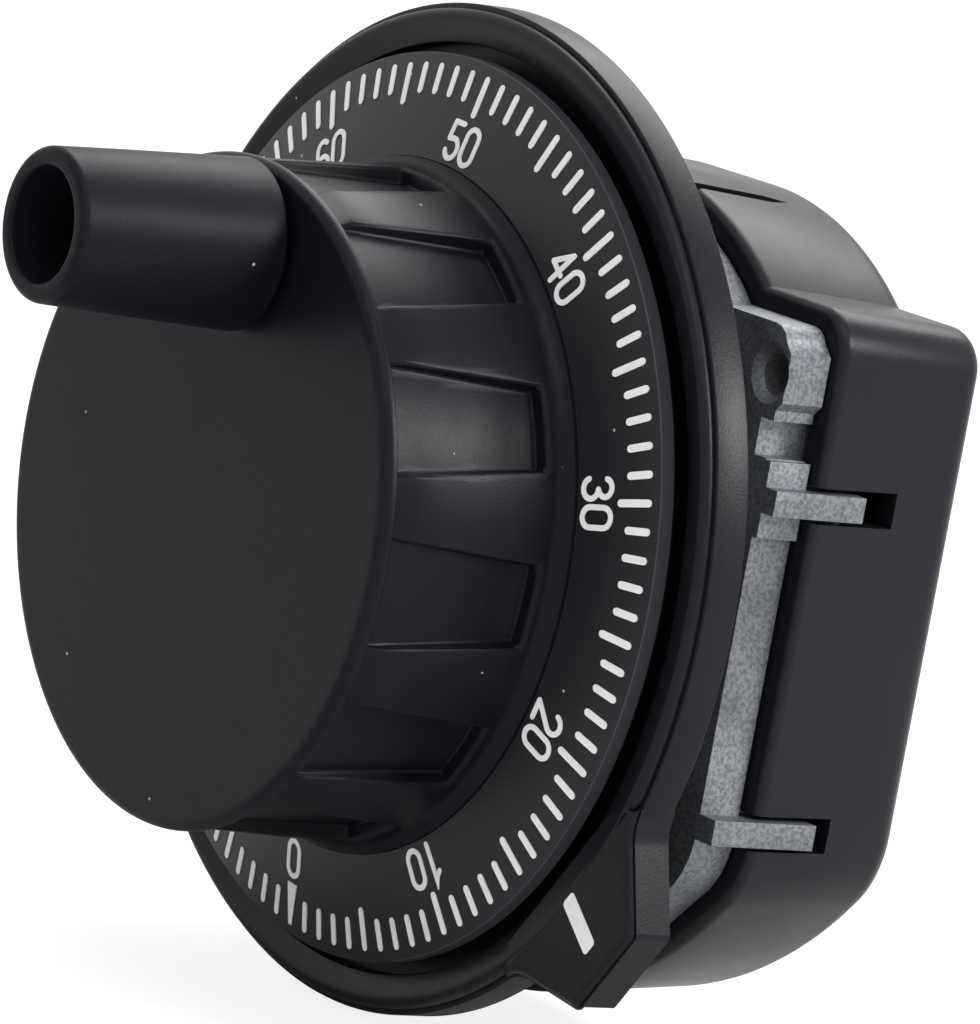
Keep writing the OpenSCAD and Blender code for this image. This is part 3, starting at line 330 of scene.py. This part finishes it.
# ---- Index mark and dial marks ----
# White paint in the pointer's recess and in the dial's engraved lines and numerals. The
# paint is slightly uneven, and it has worn thin in a few spots.
WHITE = 0.95, 0.95, 0.95


def dress(names, material):
    """Gives CAD pieces their finish."""
    for name in names:
        cad[name].data.materials.clear()
        cad[name].data.materials.append(material)


paint = Finish("engraving_paint", WHITE, IOR=1.5, Specular_IOR_Level=0.4)
pores = paint.noise(0.00018, 3, 0.6)
patches = paint.noise(0.0016, 3, 0.6)
thin = tuple(c * 0.86 for c in WHITE)
paint.feed(paint.shader, {
    "Base Color": paint.ramp(patches, (0.2, thin), (0.42, WHITE), (1, WHITE)),
    "Roughness": pores * 0.2 + 0.42})
paint.bump(pores, 0.000012)
dress(["index_mark", "dial_marks"], paint.material)

# ---- Dial ----
# A cone-shaped aluminium ring, lathe turned and anodised near-black, with a fine chamfer at its
# rim and at its inner edge. Thin bands along both chamfers are painted lighter: partly the bare
# metal of the cut, partly a painted edge highlight. It lies on the skirt of the handwheel, round
# its foot.
DIAL_R, DIAL_BORE_R, DIAL_H, DIAL_T, DIAL_SLOPE = 35.9, 27.5, 5.3, 1.2, 11
BORE_CHAMFER, RIM_CHAMFER, BRIGHT_RIM, BRIGHT_LIP = 0.08, 0.12, 0.05, 0.1
slope = math.tan(math.radians(DIAL_SLOPE))


def dial_height(radius):
    return DIAL_H + (DIAL_R - radius) * slope


def from_axis(finish):
    """Distance from the wheel's axis."""
    flat = finish.add("ShaderNodeVectorMath", {"operation": "MULTIPLY"},
                      {0: finish.place, 1: (1, 0, 1)})
    return finish.add("ShaderNodeVectorMath", {"operation": "LENGTH"}, {0: flat}, "Value")


def lathe_lines(radius, pitch):
    """Fine cutting rings round the axis, from 0 to 1."""
    return (radius * (math.tau / pitch)).sine() * 0.5 + 0.5


dial = turned("dial_plate", [
    (DIAL_BORE_R, dial_height(DIAL_BORE_R) - 0.06),
    (DIAL_BORE_R + BORE_CHAMFER, dial_height(DIAL_BORE_R + BORE_CHAMFER)),
    (DIAL_R - RIM_CHAMFER, dial_height(DIAL_R - RIM_CHAMFER)),
    (DIAL_R - 0.04, dial_height(DIAL_R - 0.04) - 0.02),
    (DIAL_R, DIAL_H - 0.08), (DIAL_R, DIAL_H - DIAL_T),
    (DIAL_BORE_R, dial_height(DIAL_BORE_R) - DIAL_T)], 288)
anodised = Finish("dial_anodising", (0.009, 0.009, 0.012), IOR=1.5, Specular_IOR_Level=0.3)
radius = from_axis(anodised)
cloud = anodised.noise(0.006, 4, 0.6)
fine = anodised.noise(0.00016, 2, 0.6)
# Thin lighter bands at the rim and the bore: the bare chamfer's tone together with a painted edge
# highlight.
bare_and_highlit_edges = ((radius > (DIAL_R - BRIGHT_RIM) * MM)
        + (radius < (DIAL_BORE_R + BRIGHT_LIP) * MM))
lint = anodised.specks(0.0018, 0.00013, 0.02)
body = anodised.mix(cloud, (0.0085, 0.0088, 0.0115), (0.014, 0.0145, 0.018))
edge = anodised.mix(bare_and_highlit_edges, body, (0.045, 0.048, 0.054))
anodised.feed(anodised.shader, {
    "Base Color": anodised.mix(lint, edge, (0.4, 0.4, 0.42)),
    "Roughness": (cloud - 0.5) * 0.12 + (fine - 0.5) * 0.08 + 0.40})
anodised.bump(lathe_lines(radius, 0.00016) * 0.5 + fine * 0.5, 0.000006)
finished(dial, anodised.material, 20)
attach(dial, "wheel")
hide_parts("dial_ring")

# ---- Handwheel ----
# Moulded in satin black plastic round the hub. Twelve finger pockets run back from under
# the front lip, and the foot spreads in a hollow fillet to the dial. The wall is modelled
# as one flat pitch, with x along the wall, y outwards and z forwards, and then wrapped.
POCKETS, WALL_R, ZERO_ANGLE = 12, 26.1, -95.2
LAND_REAR_H, POCKET_REAR_H, RAMP_H, GROOVE_H, LIP_BACK, WHEEL_H = 8.7, 9.3, 21.1, 22.4, 22.7, 23.9
LAND_OUT, POCKET_OUT, GROOVE_IN, POCKET_EDGE = 0.6, 0.571, -0.65, 0.32
POCKET_REAR_W, POCKET_FRONT_W, POCKET_DEPTH, STRIPS = 6.4, 8.8, 0.8, 24
LIP_R, LIP_ROUND, LIP_UNDER_R, FACE_R = 26.4, 0.9, 25.45, 24.9
FOOT_R, FOOT_ROUND, FOOT_END = 28.5, 1.8, 236.3
SKIRT_R, SKIRT_REAR, HOLLOW_R, HOLLOW_H = 34.4, 2.7, 22.8, 20.9
BOSS_R, BOSS_REAR, HUB_SEAT_R, HUB_SEAT_H = 9.4, 14.9, 6.4, 20.5
KEY_POCKETS, KEY_HOLE_R, KEY_HOLE_LONG, KEY_HOLE_AT, KEY_HOLE_H = (8, 11), 1.7, 8, 24, 17.7
pitch = math.tau * WALL_R / POCKETS
bpy.ops.object.select_all(action="DESELECT")
bpy.ops.mesh.primitive_plane_add(size=1)
wheel = named("handwheel_body")
for vertex, (x, z) in zip(wheel.data.vertices, [(-1, 0), (1, 0), (-1, 1), (1, 1)]):
    vertex.co = (x * pitch / 2, 0, GROOVE_H if z else LAND_REAR_H)
bpy.ops.object.mode_set(mode="EDIT")


def cut(point, normal):
    bpy.ops.mesh.select_all(action="SELECT")
    bpy.ops.mesh.bisect(plane_co=point, plane_no=Vector(normal).normalized())


for height in (POCKET_REAR_H, RAMP_H):
    cut((0, 0, height), (0, 0, 1))
spread = (POCKET_FRONT_W - POCKET_REAR_W) / 2
pocket_run = LIP_BACK - POCKET_REAR_H
for side in (-1, 1):
    cut((side * POCKET_REAR_W / 2, 0, POCKET_REAR_H), (side * pocket_run, 0, -spread))
for height, outwards in ((LAND_REAR_H, LAND_OUT), (POCKET_REAR_H, POCKET_OUT),
                         (GROOVE_H, GROOVE_IN)):
    choose("EDGE", lambda m, e: all(abs(v.co.z - height) < 0.01 for v in e.verts))
    bpy.ops.transform.translate(value=(0, outwards, 0))


def in_pocket(middle, face):
    width = POCKET_REAR_W / 2 + spread * (middle.z - POCKET_REAR_H) / pocket_run
    return middle.z > POCKET_REAR_H and abs(middle.x) < width


# The pocket is first pulled in by a little, and the resize then lays its floor flat.
choose("FACE", in_pocket)
pull(0, -0.3, 0)
bpy.ops.transform.resize(value=(1, 0, 1), center_override=(0, -POCKET_DEPTH, 0))
choose("FACE", lambda m, f: all(abs(v.co.z - GROOVE_H) < 0.001 for v in f.verts))
bpy.ops.mesh.delete(type="FACE")
choose("EDGE", lambda m, e: len(e.link_faces) == 2 and e.calc_face_angle() > math.radians(40))
bpy.ops.mesh.bevel(offset=POCKET_EDGE, segments=3, profile=0.5)
for i in range(1 - STRIPS // 2, STRIPS // 2):
    cut((i * pitch / STRIPS, 0, 0), (1, 0, 0))
for height in (12, 15, 18):
    cut((0, 0, height), (0, 0, 1))
bpy.ops.object.mode_set(mode="OBJECT")
row = wheel.modifiers.new("pitches", "ARRAY")
row.count = POCKETS
row.use_relative_offset = False
row.use_constant_offset = True
row.constant_offset_displace = (pitch, 0, 0)
row.use_merge_vertices = True
row.merge_threshold = 0.001
bpy.ops.object.modifier_apply(modifier=row.name)
for vertex in wheel.data.vertices:
    turn = math.radians(ZERO_ANGLE) + vertex.co.x / WALL_R
    out = WALL_R + vertex.co.y
    vertex.co = (out * math.cos(turn), -vertex.co.z, out * math.sin(turn))


def walk(path):
    """Pulls the selected rim through circles, each a radius and a height, and closes it."""
    piece = bpy.context.active_object
    for radius, height in path:
        bpy.ops.mesh.extrude_edges_move()
        form = bmesh.from_edit_mesh(piece.data)
        for vertex in form.verts:
            if vertex.select:
                reach = math.hypot(vertex.co.x, vertex.co.z)
                vertex.co = (vertex.co.x * radius / reach, -height, vertex.co.z * radius / reach)
        bmesh.update_edit_mesh(piece.data)
    bpy.ops.mesh.edge_face_add()


bpy.ops.object.mode_set(mode="EDIT")
bpy.ops.mesh.select_all(action="SELECT")
bpy.ops.mesh.remove_doubles(threshold=0.0015)
choose("EDGE", lambda m, e: e.is_boundary and -m.y > GROOVE_H - 0.01)
walk([(LIP_UNDER_R, GROOVE_H + 0.1), (LIP_UNDER_R, LIP_BACK),
      (LIP_R - 0.15, LIP_BACK), (LIP_R, LIP_BACK + 0.15)]
     + arc((LIP_R - LIP_ROUND, WHEEL_H - LIP_ROUND), LIP_ROUND, 0, 90, 8)
     + [(FACE_R, WHEEL_H), (18, WHEEL_H), (9, WHEEL_H), (1, WHEEL_H)])
foot_h = dial_height(DIAL_BORE_R)
choose("EDGE", lambda m, e: e.is_boundary and -m.y < LAND_REAR_H + 0.01)
walk(arc((FOOT_R, LAND_REAR_H), FOOT_ROUND, 180, FOOT_END, 8)[1:]
     + [(DIAL_BORE_R, foot_h), (DIAL_BORE_R, foot_h - DIAL_T),
        (SKIRT_R, dial_height(SKIRT_R) - DIAL_T), (SKIRT_R, SKIRT_REAR),
        (HOLLOW_R, SKIRT_REAR), (HOLLOW_R, HOLLOW_H), (BOSS_R, HOLLOW_H), (BOSS_R, BOSS_REAR),
        (HUB_SEAT_R, BOSS_REAR), (HUB_SEAT_R, HUB_SEAT_H)])
bpy.ops.mesh.select_all(action="SELECT")
bpy.ops.transform.resize(value=(MM, MM, MM), center_override=(0, 0, 0))
tidy_faces()


def carve(piece, cutter):
    """Takes a cutter's volume away from a piece, and removes the cutter."""
    bpy.ops.object.select_all(action="DESELECT")
    bpy.context.view_layer.objects.active = piece
    taken = piece.modifiers.new("cut", "BOOLEAN")
    taken.object, taken.operation, taken.solver = cutter, "DIFFERENCE", "EXACT"
    bpy.ops.object.modifier_apply(modifier=taken.name)
    bpy.data.objects.remove(cutter)


def drill(piece, radius, depth, centre, rotation, vertices, mouth=None):
    """Carves a round hole, which widens to another radius at its mouth if one is given."""
    bpy.ops.object.select_all(action="DESELECT")
    bpy.ops.mesh.primitive_cone_add(
        vertices=vertices, radius1=(mouth or radius) * MM, radius2=radius * MM,
        depth=depth * MM, location=Vector(centre) * MM, rotation=rotation)
    carve(piece, bpy.context.active_object)


for pocket in KEY_POCKETS:
    turn = math.radians(ZERO_ANGLE + 360 / POCKETS * pocket)
    centre = (KEY_HOLE_AT * math.cos(turn), -KEY_HOLE_H, KEY_HOLE_AT * math.sin(turn))
    drill(wheel, KEY_HOLE_R, KEY_HOLE_LONG, centre, (0, math.pi / 2 - turn, 0), 32)
satin = moulded("wheel_plastic", (0.0058, 0.0053, 0.0088), rough=0.36, gloss=0.14,
                grain=0.000016, dust=0.07)
finished(wheel, satin, 28)
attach(wheel, "wheel")
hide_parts("handwheel")

# ---- Crank grip ----
# A slightly tapered black sleeve that turns on a shoulder screw. Its free end has a rounded
# lip round a deep hollow, with the screw's socket head at the bottom.
CRANK_R, CRANK_ANGLE = 19.8, 84.8
GRIP_LOW, GRIP_HIGH, GRIP_SEAT = 24.6, 42.7, 34.1
GRIP_BASE_R, GRIP_END_R, GRIP_HOLLOW_R, GRIP_BORE_R = 6.75, 6.03, 4.5, 2.58
BASE_ROUND, END_ROUND, MOUTH_ROUND = 0.4, 0.7, 0.35
crank_turn = math.radians(CRANK_ANGLE)
hollow_r = GRIP_HOLLOW_R - 0.05
section = [(GRIP_BORE_R, GRIP_LOW)]
section += arc((GRIP_BASE_R - BASE_ROUND, GRIP_LOW + BASE_ROUND), BASE_ROUND, -90, 0, 5)
section += [(6.5, 30.9), (6.27, 36.7)]
section += arc((GRIP_END_R - END_ROUND, GRIP_HIGH - END_ROUND), END_ROUND, 0, 90, 8)
section += arc((GRIP_HOLLOW_R + MOUTH_ROUND, GRIP_HIGH - MOUTH_ROUND), MOUTH_ROUND, 90, 180, 5)
section += [(hollow_r, 38), (hollow_r, GRIP_SEAT), (GRIP_BORE_R, GRIP_SEAT)]
grip = turned("grip_sleeve", section, 128,
              (CRANK_R * math.cos(crank_turn), CRANK_R * math.sin(crank_turn)))
finished(grip, moulded("grip_plastic", (0.0072, 0.0067, 0.0102), rough=0.42, gloss=0.11,
                       grain=0.000016, dust=0.04))
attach(grip, "crank_grip")
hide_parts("grip")
dress(["grip_washer"], satin)

# ---- Rear cover ----
# A deep black cap moulded with drafted walls. It has square shoulders, a round top with a
# short flat and a wide lower arc. The frame's ribs come out through slots in its sides, and
# three countersunk screws hold its floor.
SIDE_X, SHOULDER_Z, CORNER_R, TOP_Z, TOP_W, TOP_R = 34.4, 23.6, 3.5, 30.1, 9, 29.8
BOTTOM_Z, ARC_R, LOW_R, COVER_FRONT, COVER_REAR = 37.6, 43.8, 9, 9.6, 24.6
COVER_T, COVER_EDGE, COVER_LIP, COVER_DRAFT, DRAFT_REACH, DRAFT_Z = 2.3, 2, 1, 1, 33, -4
RIB_SLOTS, RIB_SLOT_X, RIB_SLOT_W = ((8.6, 17.7), (-17.2, 17.2)), (29, 39), 2.8
TERMINAL_OPENING = (-15.9, 15.9), (20, 27), (-14.2, -4.8)
SNAP_ANGLE, SNAP_CUT, SNAP_W, SNAP_STRAIGHT, SNAP_LONG = 77, 4, 1.2, 7.8, 9.8
COVER_SCREWS = (-26.4, 15.2), (26.4, 15.2), (0, -30.2)
SCREW_R, SCREW_HOLE_LONG, SCREW_HEAD_R, SCREW_HEAD_H, SCREW_SUNK = 1.6, 6, 2.95, 1.6, 0.75
arc_z = ARC_R - BOTTOM_Z
low_x = SIDE_X - LOW_R
low_z = arc_z - math.sqrt((ARC_R - LOW_R) ** 2 - low_x ** 2)
low_turn = math.degrees(math.atan2(low_z - arc_z, low_x))
top_mid = (TOP_W / 2, TOP_Z - TOP_R)
meet = math.degrees(math.asin((SHOULDER_Z - top_mid[1]) / TOP_R))
right = arc((0, arc_z), ARC_R, -89.5, low_turn - 1, 22)
right += arc((low_x, low_z), LOW_R, low_turn, 0, 16)
right += arc((SIDE_X - CORNER_R, SHOULDER_Z - CORNER_R), CORNER_R, 0, 90, 10)
right += arc(top_mid, TOP_R, meet, 90, 26)
cover = slab("cover_shell", right + [(-x, z) for x, z in reversed(right)],
             -COVER_FRONT, -COVER_REAR)
shrink = 1 - COVER_DRAFT / DRAFT_REACH
bpy.ops.transform.resize(value=(shrink, 1, shrink),
                         center_override=(0, COVER_REAR * MM, DRAFT_Z * MM))
choose("EDGE", lambda m, e: abs(m.y - COVER_REAR * MM) < 1e-6)
bpy.ops.mesh.bevel(offset=COVER_EDGE * MM, segments=7, profile=0.5)
choose("FACE", lambda m, f: abs(m.y - COVER_FRONT * MM) < 1e-6)
bpy.ops.mesh.delete(type="ONLY_FACE")
face_outwards()
walls = cover.modifiers.new("walls", "SOLIDIFY")
walls.thickness, walls.offset, walls.use_even_offset = COVER_T * MM, -1, True
bpy.ops.object.modifier_apply(modifier=walls.name)
bpy.ops.object.mode_set(mode="EDIT")


def outer_rim(middle, edge):
    if any(abs(v.co.y - COVER_FRONT * MM) > 1e-5 for v in edge.verts):
        return False
    walls = [f for f in edge.link_faces if abs(f.normal.y) < 0.7]
    return walls and walls[0].normal.dot(middle - Vector((0, middle.y, 0))) > 0


choose("EDGE", outer_rim)
bpy.ops.mesh.bevel(offset=COVER_LIP * MM, segments=5, profile=0.5)
bpy.ops.object.mode_set(mode="OBJECT")


def block(x, y, z):
    """A box between two values on each axis, in millimetres."""
    bpy.ops.object.select_all(action="DESELECT")
    bpy.ops.mesh.primitive_cube_add(size=MM)
    piece = bpy.context.active_object
    piece.matrix_world = (Matrix.Translation(Vector((sum(x), sum(y), sum(z))) * MM / 2)
                          @ Matrix.Diagonal((x[1] - x[0], y[1] - y[0], z[1] - z[0], 1)))
    bpy.context.view_layer.update()
    return piece


for side in (-1, 1):
    for height, back in RIB_SLOTS:
        carve(cover, block(sorted(side * x for x in RIB_SLOT_X), (COVER_FRONT - 1, back),
                           (height - RIB_SLOT_W / 2, height + RIB_SLOT_W / 2)))
carve(cover, block(*TERMINAL_OPENING))
side = SNAP_W / 2
snap_slot = [(-1, -side), (SNAP_STRAIGHT, -side), (SNAP_LONG, 0), (SNAP_STRAIGHT, side), (-1, side)]
snap = math.radians(SNAP_ANGLE)
outwards = Vector((math.cos(snap), 0, math.sin(snap)))
sideways = Vector((-math.sin(snap), 0, math.cos(snap)))
bpy.ops.object.select_all(action="DESELECT")
bpy.ops.mesh.primitive_circle_add(vertices=len(snap_slot), radius=MM, fill_type="NGON")
slot_cutter = bpy.context.active_object
for vertex, (back, across) in zip(slot_cutter.data.vertices, snap_slot):
    start = outwards * (TOP_R - SNAP_CUT) + sideways * across
    vertex.co = (start + Vector((top_mid[0], COVER_FRONT + back, top_mid[1]))) * MM
bpy.ops.object.mode_set(mode="EDIT")
bpy.ops.mesh.select_all(action="SELECT")
pull(*(outwards * 2 * SNAP_CUT * MM))
face_outwards()
carve(cover, slot_cutter)
for x, z in COVER_SCREWS:
    backwards = (math.pi / 2, 0, 0)
    drill(cover, SCREW_R, SCREW_HEAD_H, (x, COVER_REAR - SCREW_SUNK, z), backwards, 40,
          SCREW_HEAD_R)
    drill(cover, SCREW_R, SCREW_HOLE_LONG, (x, COVER_REAR, z), backwards, 40)
finished(cover, moulded("cover_plastic", (0.0090, 0.0085, 0.0122), rough=0.34, gloss=0.20,
                        grain=0.00002, dust=0.01))
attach(cover, "housing")
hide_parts("rear_cover")

# ---- Frame ----
# Die-cast zinc alloy, tumbled and left bare: a plate with a rim that steps into the cover,
# bosses for the panel screws, ribs at the sides and the bearing tube. Its edges are rounded
# by the die.
EDGE_ROUND = 0.55
bpy.ops.object.select_all(action="DESELECT")
casting = cad["frame"].copy()
casting.data = cad["frame"].data.copy()
casting.name = casting.data.name = "frame_casting"
casting.parent = None
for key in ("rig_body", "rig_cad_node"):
    del casting[key]
bpy.context.scene.collection.objects.link(casting)
casting.select_set(True)
bpy.context.view_layer.objects.active = casting
bpy.ops.object.mode_set(mode="EDIT")
bpy.ops.mesh.select_all(action="SELECT")
bpy.ops.mesh.remove_doubles(threshold=2e-6)
bpy.ops.mesh.dissolve_limited(angle_limit=math.radians(0.6))
bpy.ops.object.mode_set(mode="OBJECT")
edges = casting.modifiers.new("edges", "BEVEL")
edges.width, edges.segments = EDGE_ROUND * MM, 4
edges.limit_method, edges.angle_limit = "ANGLE", math.radians(35)
bpy.ops.object.modifier_apply(modifier=edges.name)
casting.data.materials.clear()

zinc = Finish("cast_zinc", (0.24, 0.255, 0.28), Metallic=0.5, IOR=1.5)
blots = zinc.noise(0.0045, 4, 0.6)
grains = zinc.noise(0.00032, 3, 0.65)
clouds = zinc.noise(0.015, 3, 0.5)
tarnish = zinc.ramp(blots * 0.5 + clouds * 0.5,
                    (0.30, (0.09, 0.094, 0.102)), (0.45, (0.16, 0.17, 0.184)),
                    (0.58, (0.23, 0.245, 0.262)), (0.75, (0.32, 0.335, 0.355)))
frost = zinc.ramp(grains, (0.40, (0.50, 0.50, 0.52)), (0.58, (1, 1, 1)))
zinc.feed(zinc.shader, {"Base Color": zinc.mix(0.9, tarnish, frost, "MULTIPLY"),
                        "Roughness": blots * 0.2 + grains * 0.12 + 0.34,
                        "Metallic": clouds * 0.4 + 0.4})
zinc.bump(grains * 0.5 + blots * 0.5, 0.00006)
finished(casting, zinc.material, 30)
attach(casting, "housing")
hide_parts("frame")
dress(["magnet_holder"], zinc.material)

# ---- Screws, shaft and bearings ----
# Zinc-plated screws, a ground steel shaft in two ball bearings, and turned brass hubs. The
# shoulder screw of the grip is black oxide steel.


def metal(name, colour, rough, pitch, depth):
    """Turned or plated metal: fine cutting rings round the axis, stains and a fine grain."""
    finish = Finish(name, colour, Metallic=1)
    rings = lathe_lines(from_axis(finish), pitch)
    stains = finish.noise(0.003, 4, 0.6)
    fine = finish.noise(0.0003, 3, 0.6)
    dull, bright = ([c * k for c in colour] for k in (0.72, 1.08))
    finish.feed(finish.shader, {
        "Base Color": finish.mix(stains, dull, bright),
        "Roughness": (stains - 0.5) * 0.2 + (fine - 0.5) * 0.1 + rough})
    finish.bump(rings * 0.5 + fine * 0.5, depth)
    return finish.material


plated = metal("plated_steel", (0.45, 0.46, 0.48), 0.30, 0.0002, 0.000005)
oxide = metal("black_oxide", (0.06, 0.06, 0.065), 0.26, 0.0002, 0.000005)
hardened = metal("bearing_steel", (0.66, 0.66, 0.68), 0.16, 0.00012, 0.000002)
ground = metal("ground_steel", (0.50, 0.50, 0.52), 0.28, 0.00018, 0.000004)
brass = metal("turned_brass", (0.62, 0.45, 0.16), 0.26, 0.00022, 0.000005)
nickel = metal("nickel_plate", (0.48, 0.47, 0.45), 0.22, 0.0004, 0.000002)
dress(["ring_screws", "cover_screws", "board_screws", "magnet_screw", "hub_set_screws",
       "terminal_screws"], plated)
dress(["grip_shoulder_screw"], oxide)
dress(["front_bearing_outer", "front_bearing_inner", "front_bearing_balls",
       "rear_bearing_outer", "rear_bearing_inner", "rear_bearing_balls"],
      hardened)
dress(["shaft", "spacer_sleeve", "bearing_retaining_ring", "detent_rotor", "code_disc",
       "disc_clamp", "slit_mask"], ground)
dress(["wheel_hub", "grip_insert", "disc_hub"], brass)
dress(["detent_magnet"], nickel)

# ---- Circuit board, light barrier and terminals ----
# The board is glass laminate under green resist, with copper tracks that show through it.
# It is screwed to the frame behind the code disc, and the terminals stand in the cover's
# opening.
BLACK = 0, 0, 0, 1
board = Finish("solder_resist", (0.012, 0.09, 0.035), Coat_Weight=0.5, Coat_Roughness=0.15)
weave = board.noise(0.0004, 2, 0.5)
tracks = board.add("ShaderNodeTexBrick", {"offset": 0.5},
                   {"Vector": board.place, "Scale": 420, "Mortar Size": 0.03,
                    "Color1": BLACK, "Color2": BLACK, "Mortar": (1, 1, 1, 1)}, "Fac")
board.feed(board.shader, {
    "Base Color": board.mix(tracks, (0.008, 0.07, 0.028), (0.03, 0.16, 0.06)),
    "Roughness": weave * 0.2 + 0.3})
board.bump(tracks * 0.7 + weave * 0.3, 0.00002)
dress(["circuit_board"], board.material)
dress(["sensor_block", "terminal_block"],
      moulded("terminal_plastic", (0.011, 0.011, 0.013), rough=0.5, gloss=0.4,
              grain=0.00003, dust=0.012))

# ---- Studio ----
# A pale paper floor under the part, and a surround and three softboxes that give soft,
# plain light. Floor and surround both show as white behind the part.
FLOOR_Z, FLOOR_SIZE, FLOOR_SEEN = -0.0403, 8, 0.84
SURROUND_LIGHT, SURROUND_SEEN = 0.72, 1
PAPER, PAPER_SEEN = (0.70, 0.70, 0.70), (0.16, 0.16, 0.16)


def seen_by(nodes, *kinds):
    """1 for rays of any of these kinds, and 0 for others."""
    rays = [nodes.add("ShaderNodeLightPath", {}, {}, f"Is {kind} Ray") for kind in kinds]
    seen = rays[0]
    for ray in rays[1:]:
        seen = seen.maths("MAXIMUM", seen, ray)
    return seen


bpy.ops.object.select_all(action="DESELECT")
bpy.ops.mesh.primitive_plane_add(size=FLOOR_SIZE, location=(0, 0, FLOOR_Z))
floor = bpy.context.active_object
floor.name = "floor"
paper = Finish("floor_paper", (0.92, 0.92, 0.92), Roughness=0.85, Specular_IOR_Level=0.1,
               Emission_Strength=1)
paper.bump(paper.noise(0.002, 3, 0.6), 0.00002)
whiten = seen_by(paper, "Camera", "Transmission") * FLOOR_SEEN
paper.feed(paper.shader, {"Base Color": paper.mix(whiten, PAPER, PAPER_SEEN),
                          "Emission Color": paper.mix(whiten, (0, 0, 0), (1, 1, 1))})
floor.data.materials.append(paper.material)

CAMERA_PLACE = 0.50645, -0.35572, 0.08917
CAMERA_AXES = ((0.54929, 0.81660, 0.17731), (-0.21751, -0.06515, 0.97388),
               (0.80683, -0.57351, 0.14184))
camera_data = bpy.data.cameras.new("camera")
camera = bpy.data.objects.new("camera", camera_data)
bpy.context.scene.collection.objects.link(camera)
camera.matrix_world = (Matrix.Translation(CAMERA_PLACE)
                       @ Matrix(CAMERA_AXES).transposed().to_4x4())
camera_data.lens = 277.8
camera_data.sensor_width = 36
camera_data.clip_start = 0.05
camera_data.clip_end = 20
bpy.context.scene.camera = camera

world = bpy.data.worlds.new("surround")
bpy.context.scene.world = world
surround = Nodes(world)
seen = seen_by(surround, "Camera", "Glossy", "Transmission")
surround.feed(surround.nodes["Background"], {
    "Color": (1, 1, 1, 1),
    "Strength": seen * (SURROUND_SEEN - SURROUND_LIGHT) + SURROUND_LIGHT})


def softbox(name, place, aim, size, watts):
    """A square lamp at a place in metres, turned towards a point."""
    lamp = bpy.data.lights.new(name, "AREA")
    lamp.energy, lamp.size = watts, size
    holder = bpy.data.objects.new(name, lamp)
    bpy.context.scene.collection.objects.link(holder)
    facing = (Vector(place) - Vector(aim)).to_track_quat("Z", "Y").to_matrix().to_4x4()
    holder.matrix_world = Matrix.Translation(place) @ facing


softbox("top_box", (-0.35, 0.45, 0.75), (0, 0, 0), 0.6, 6)
softbox("key_box", (0.45, -0.35, 0.85), (0, 0, 0), 0.5, 1.6)
softbox("side_box", (0.38, 0.23, 0.24), (0.16, 0.09, -0.04), 0.16, 1.9)
bpy.context.scene.view_settings.view_transform = "Standard"
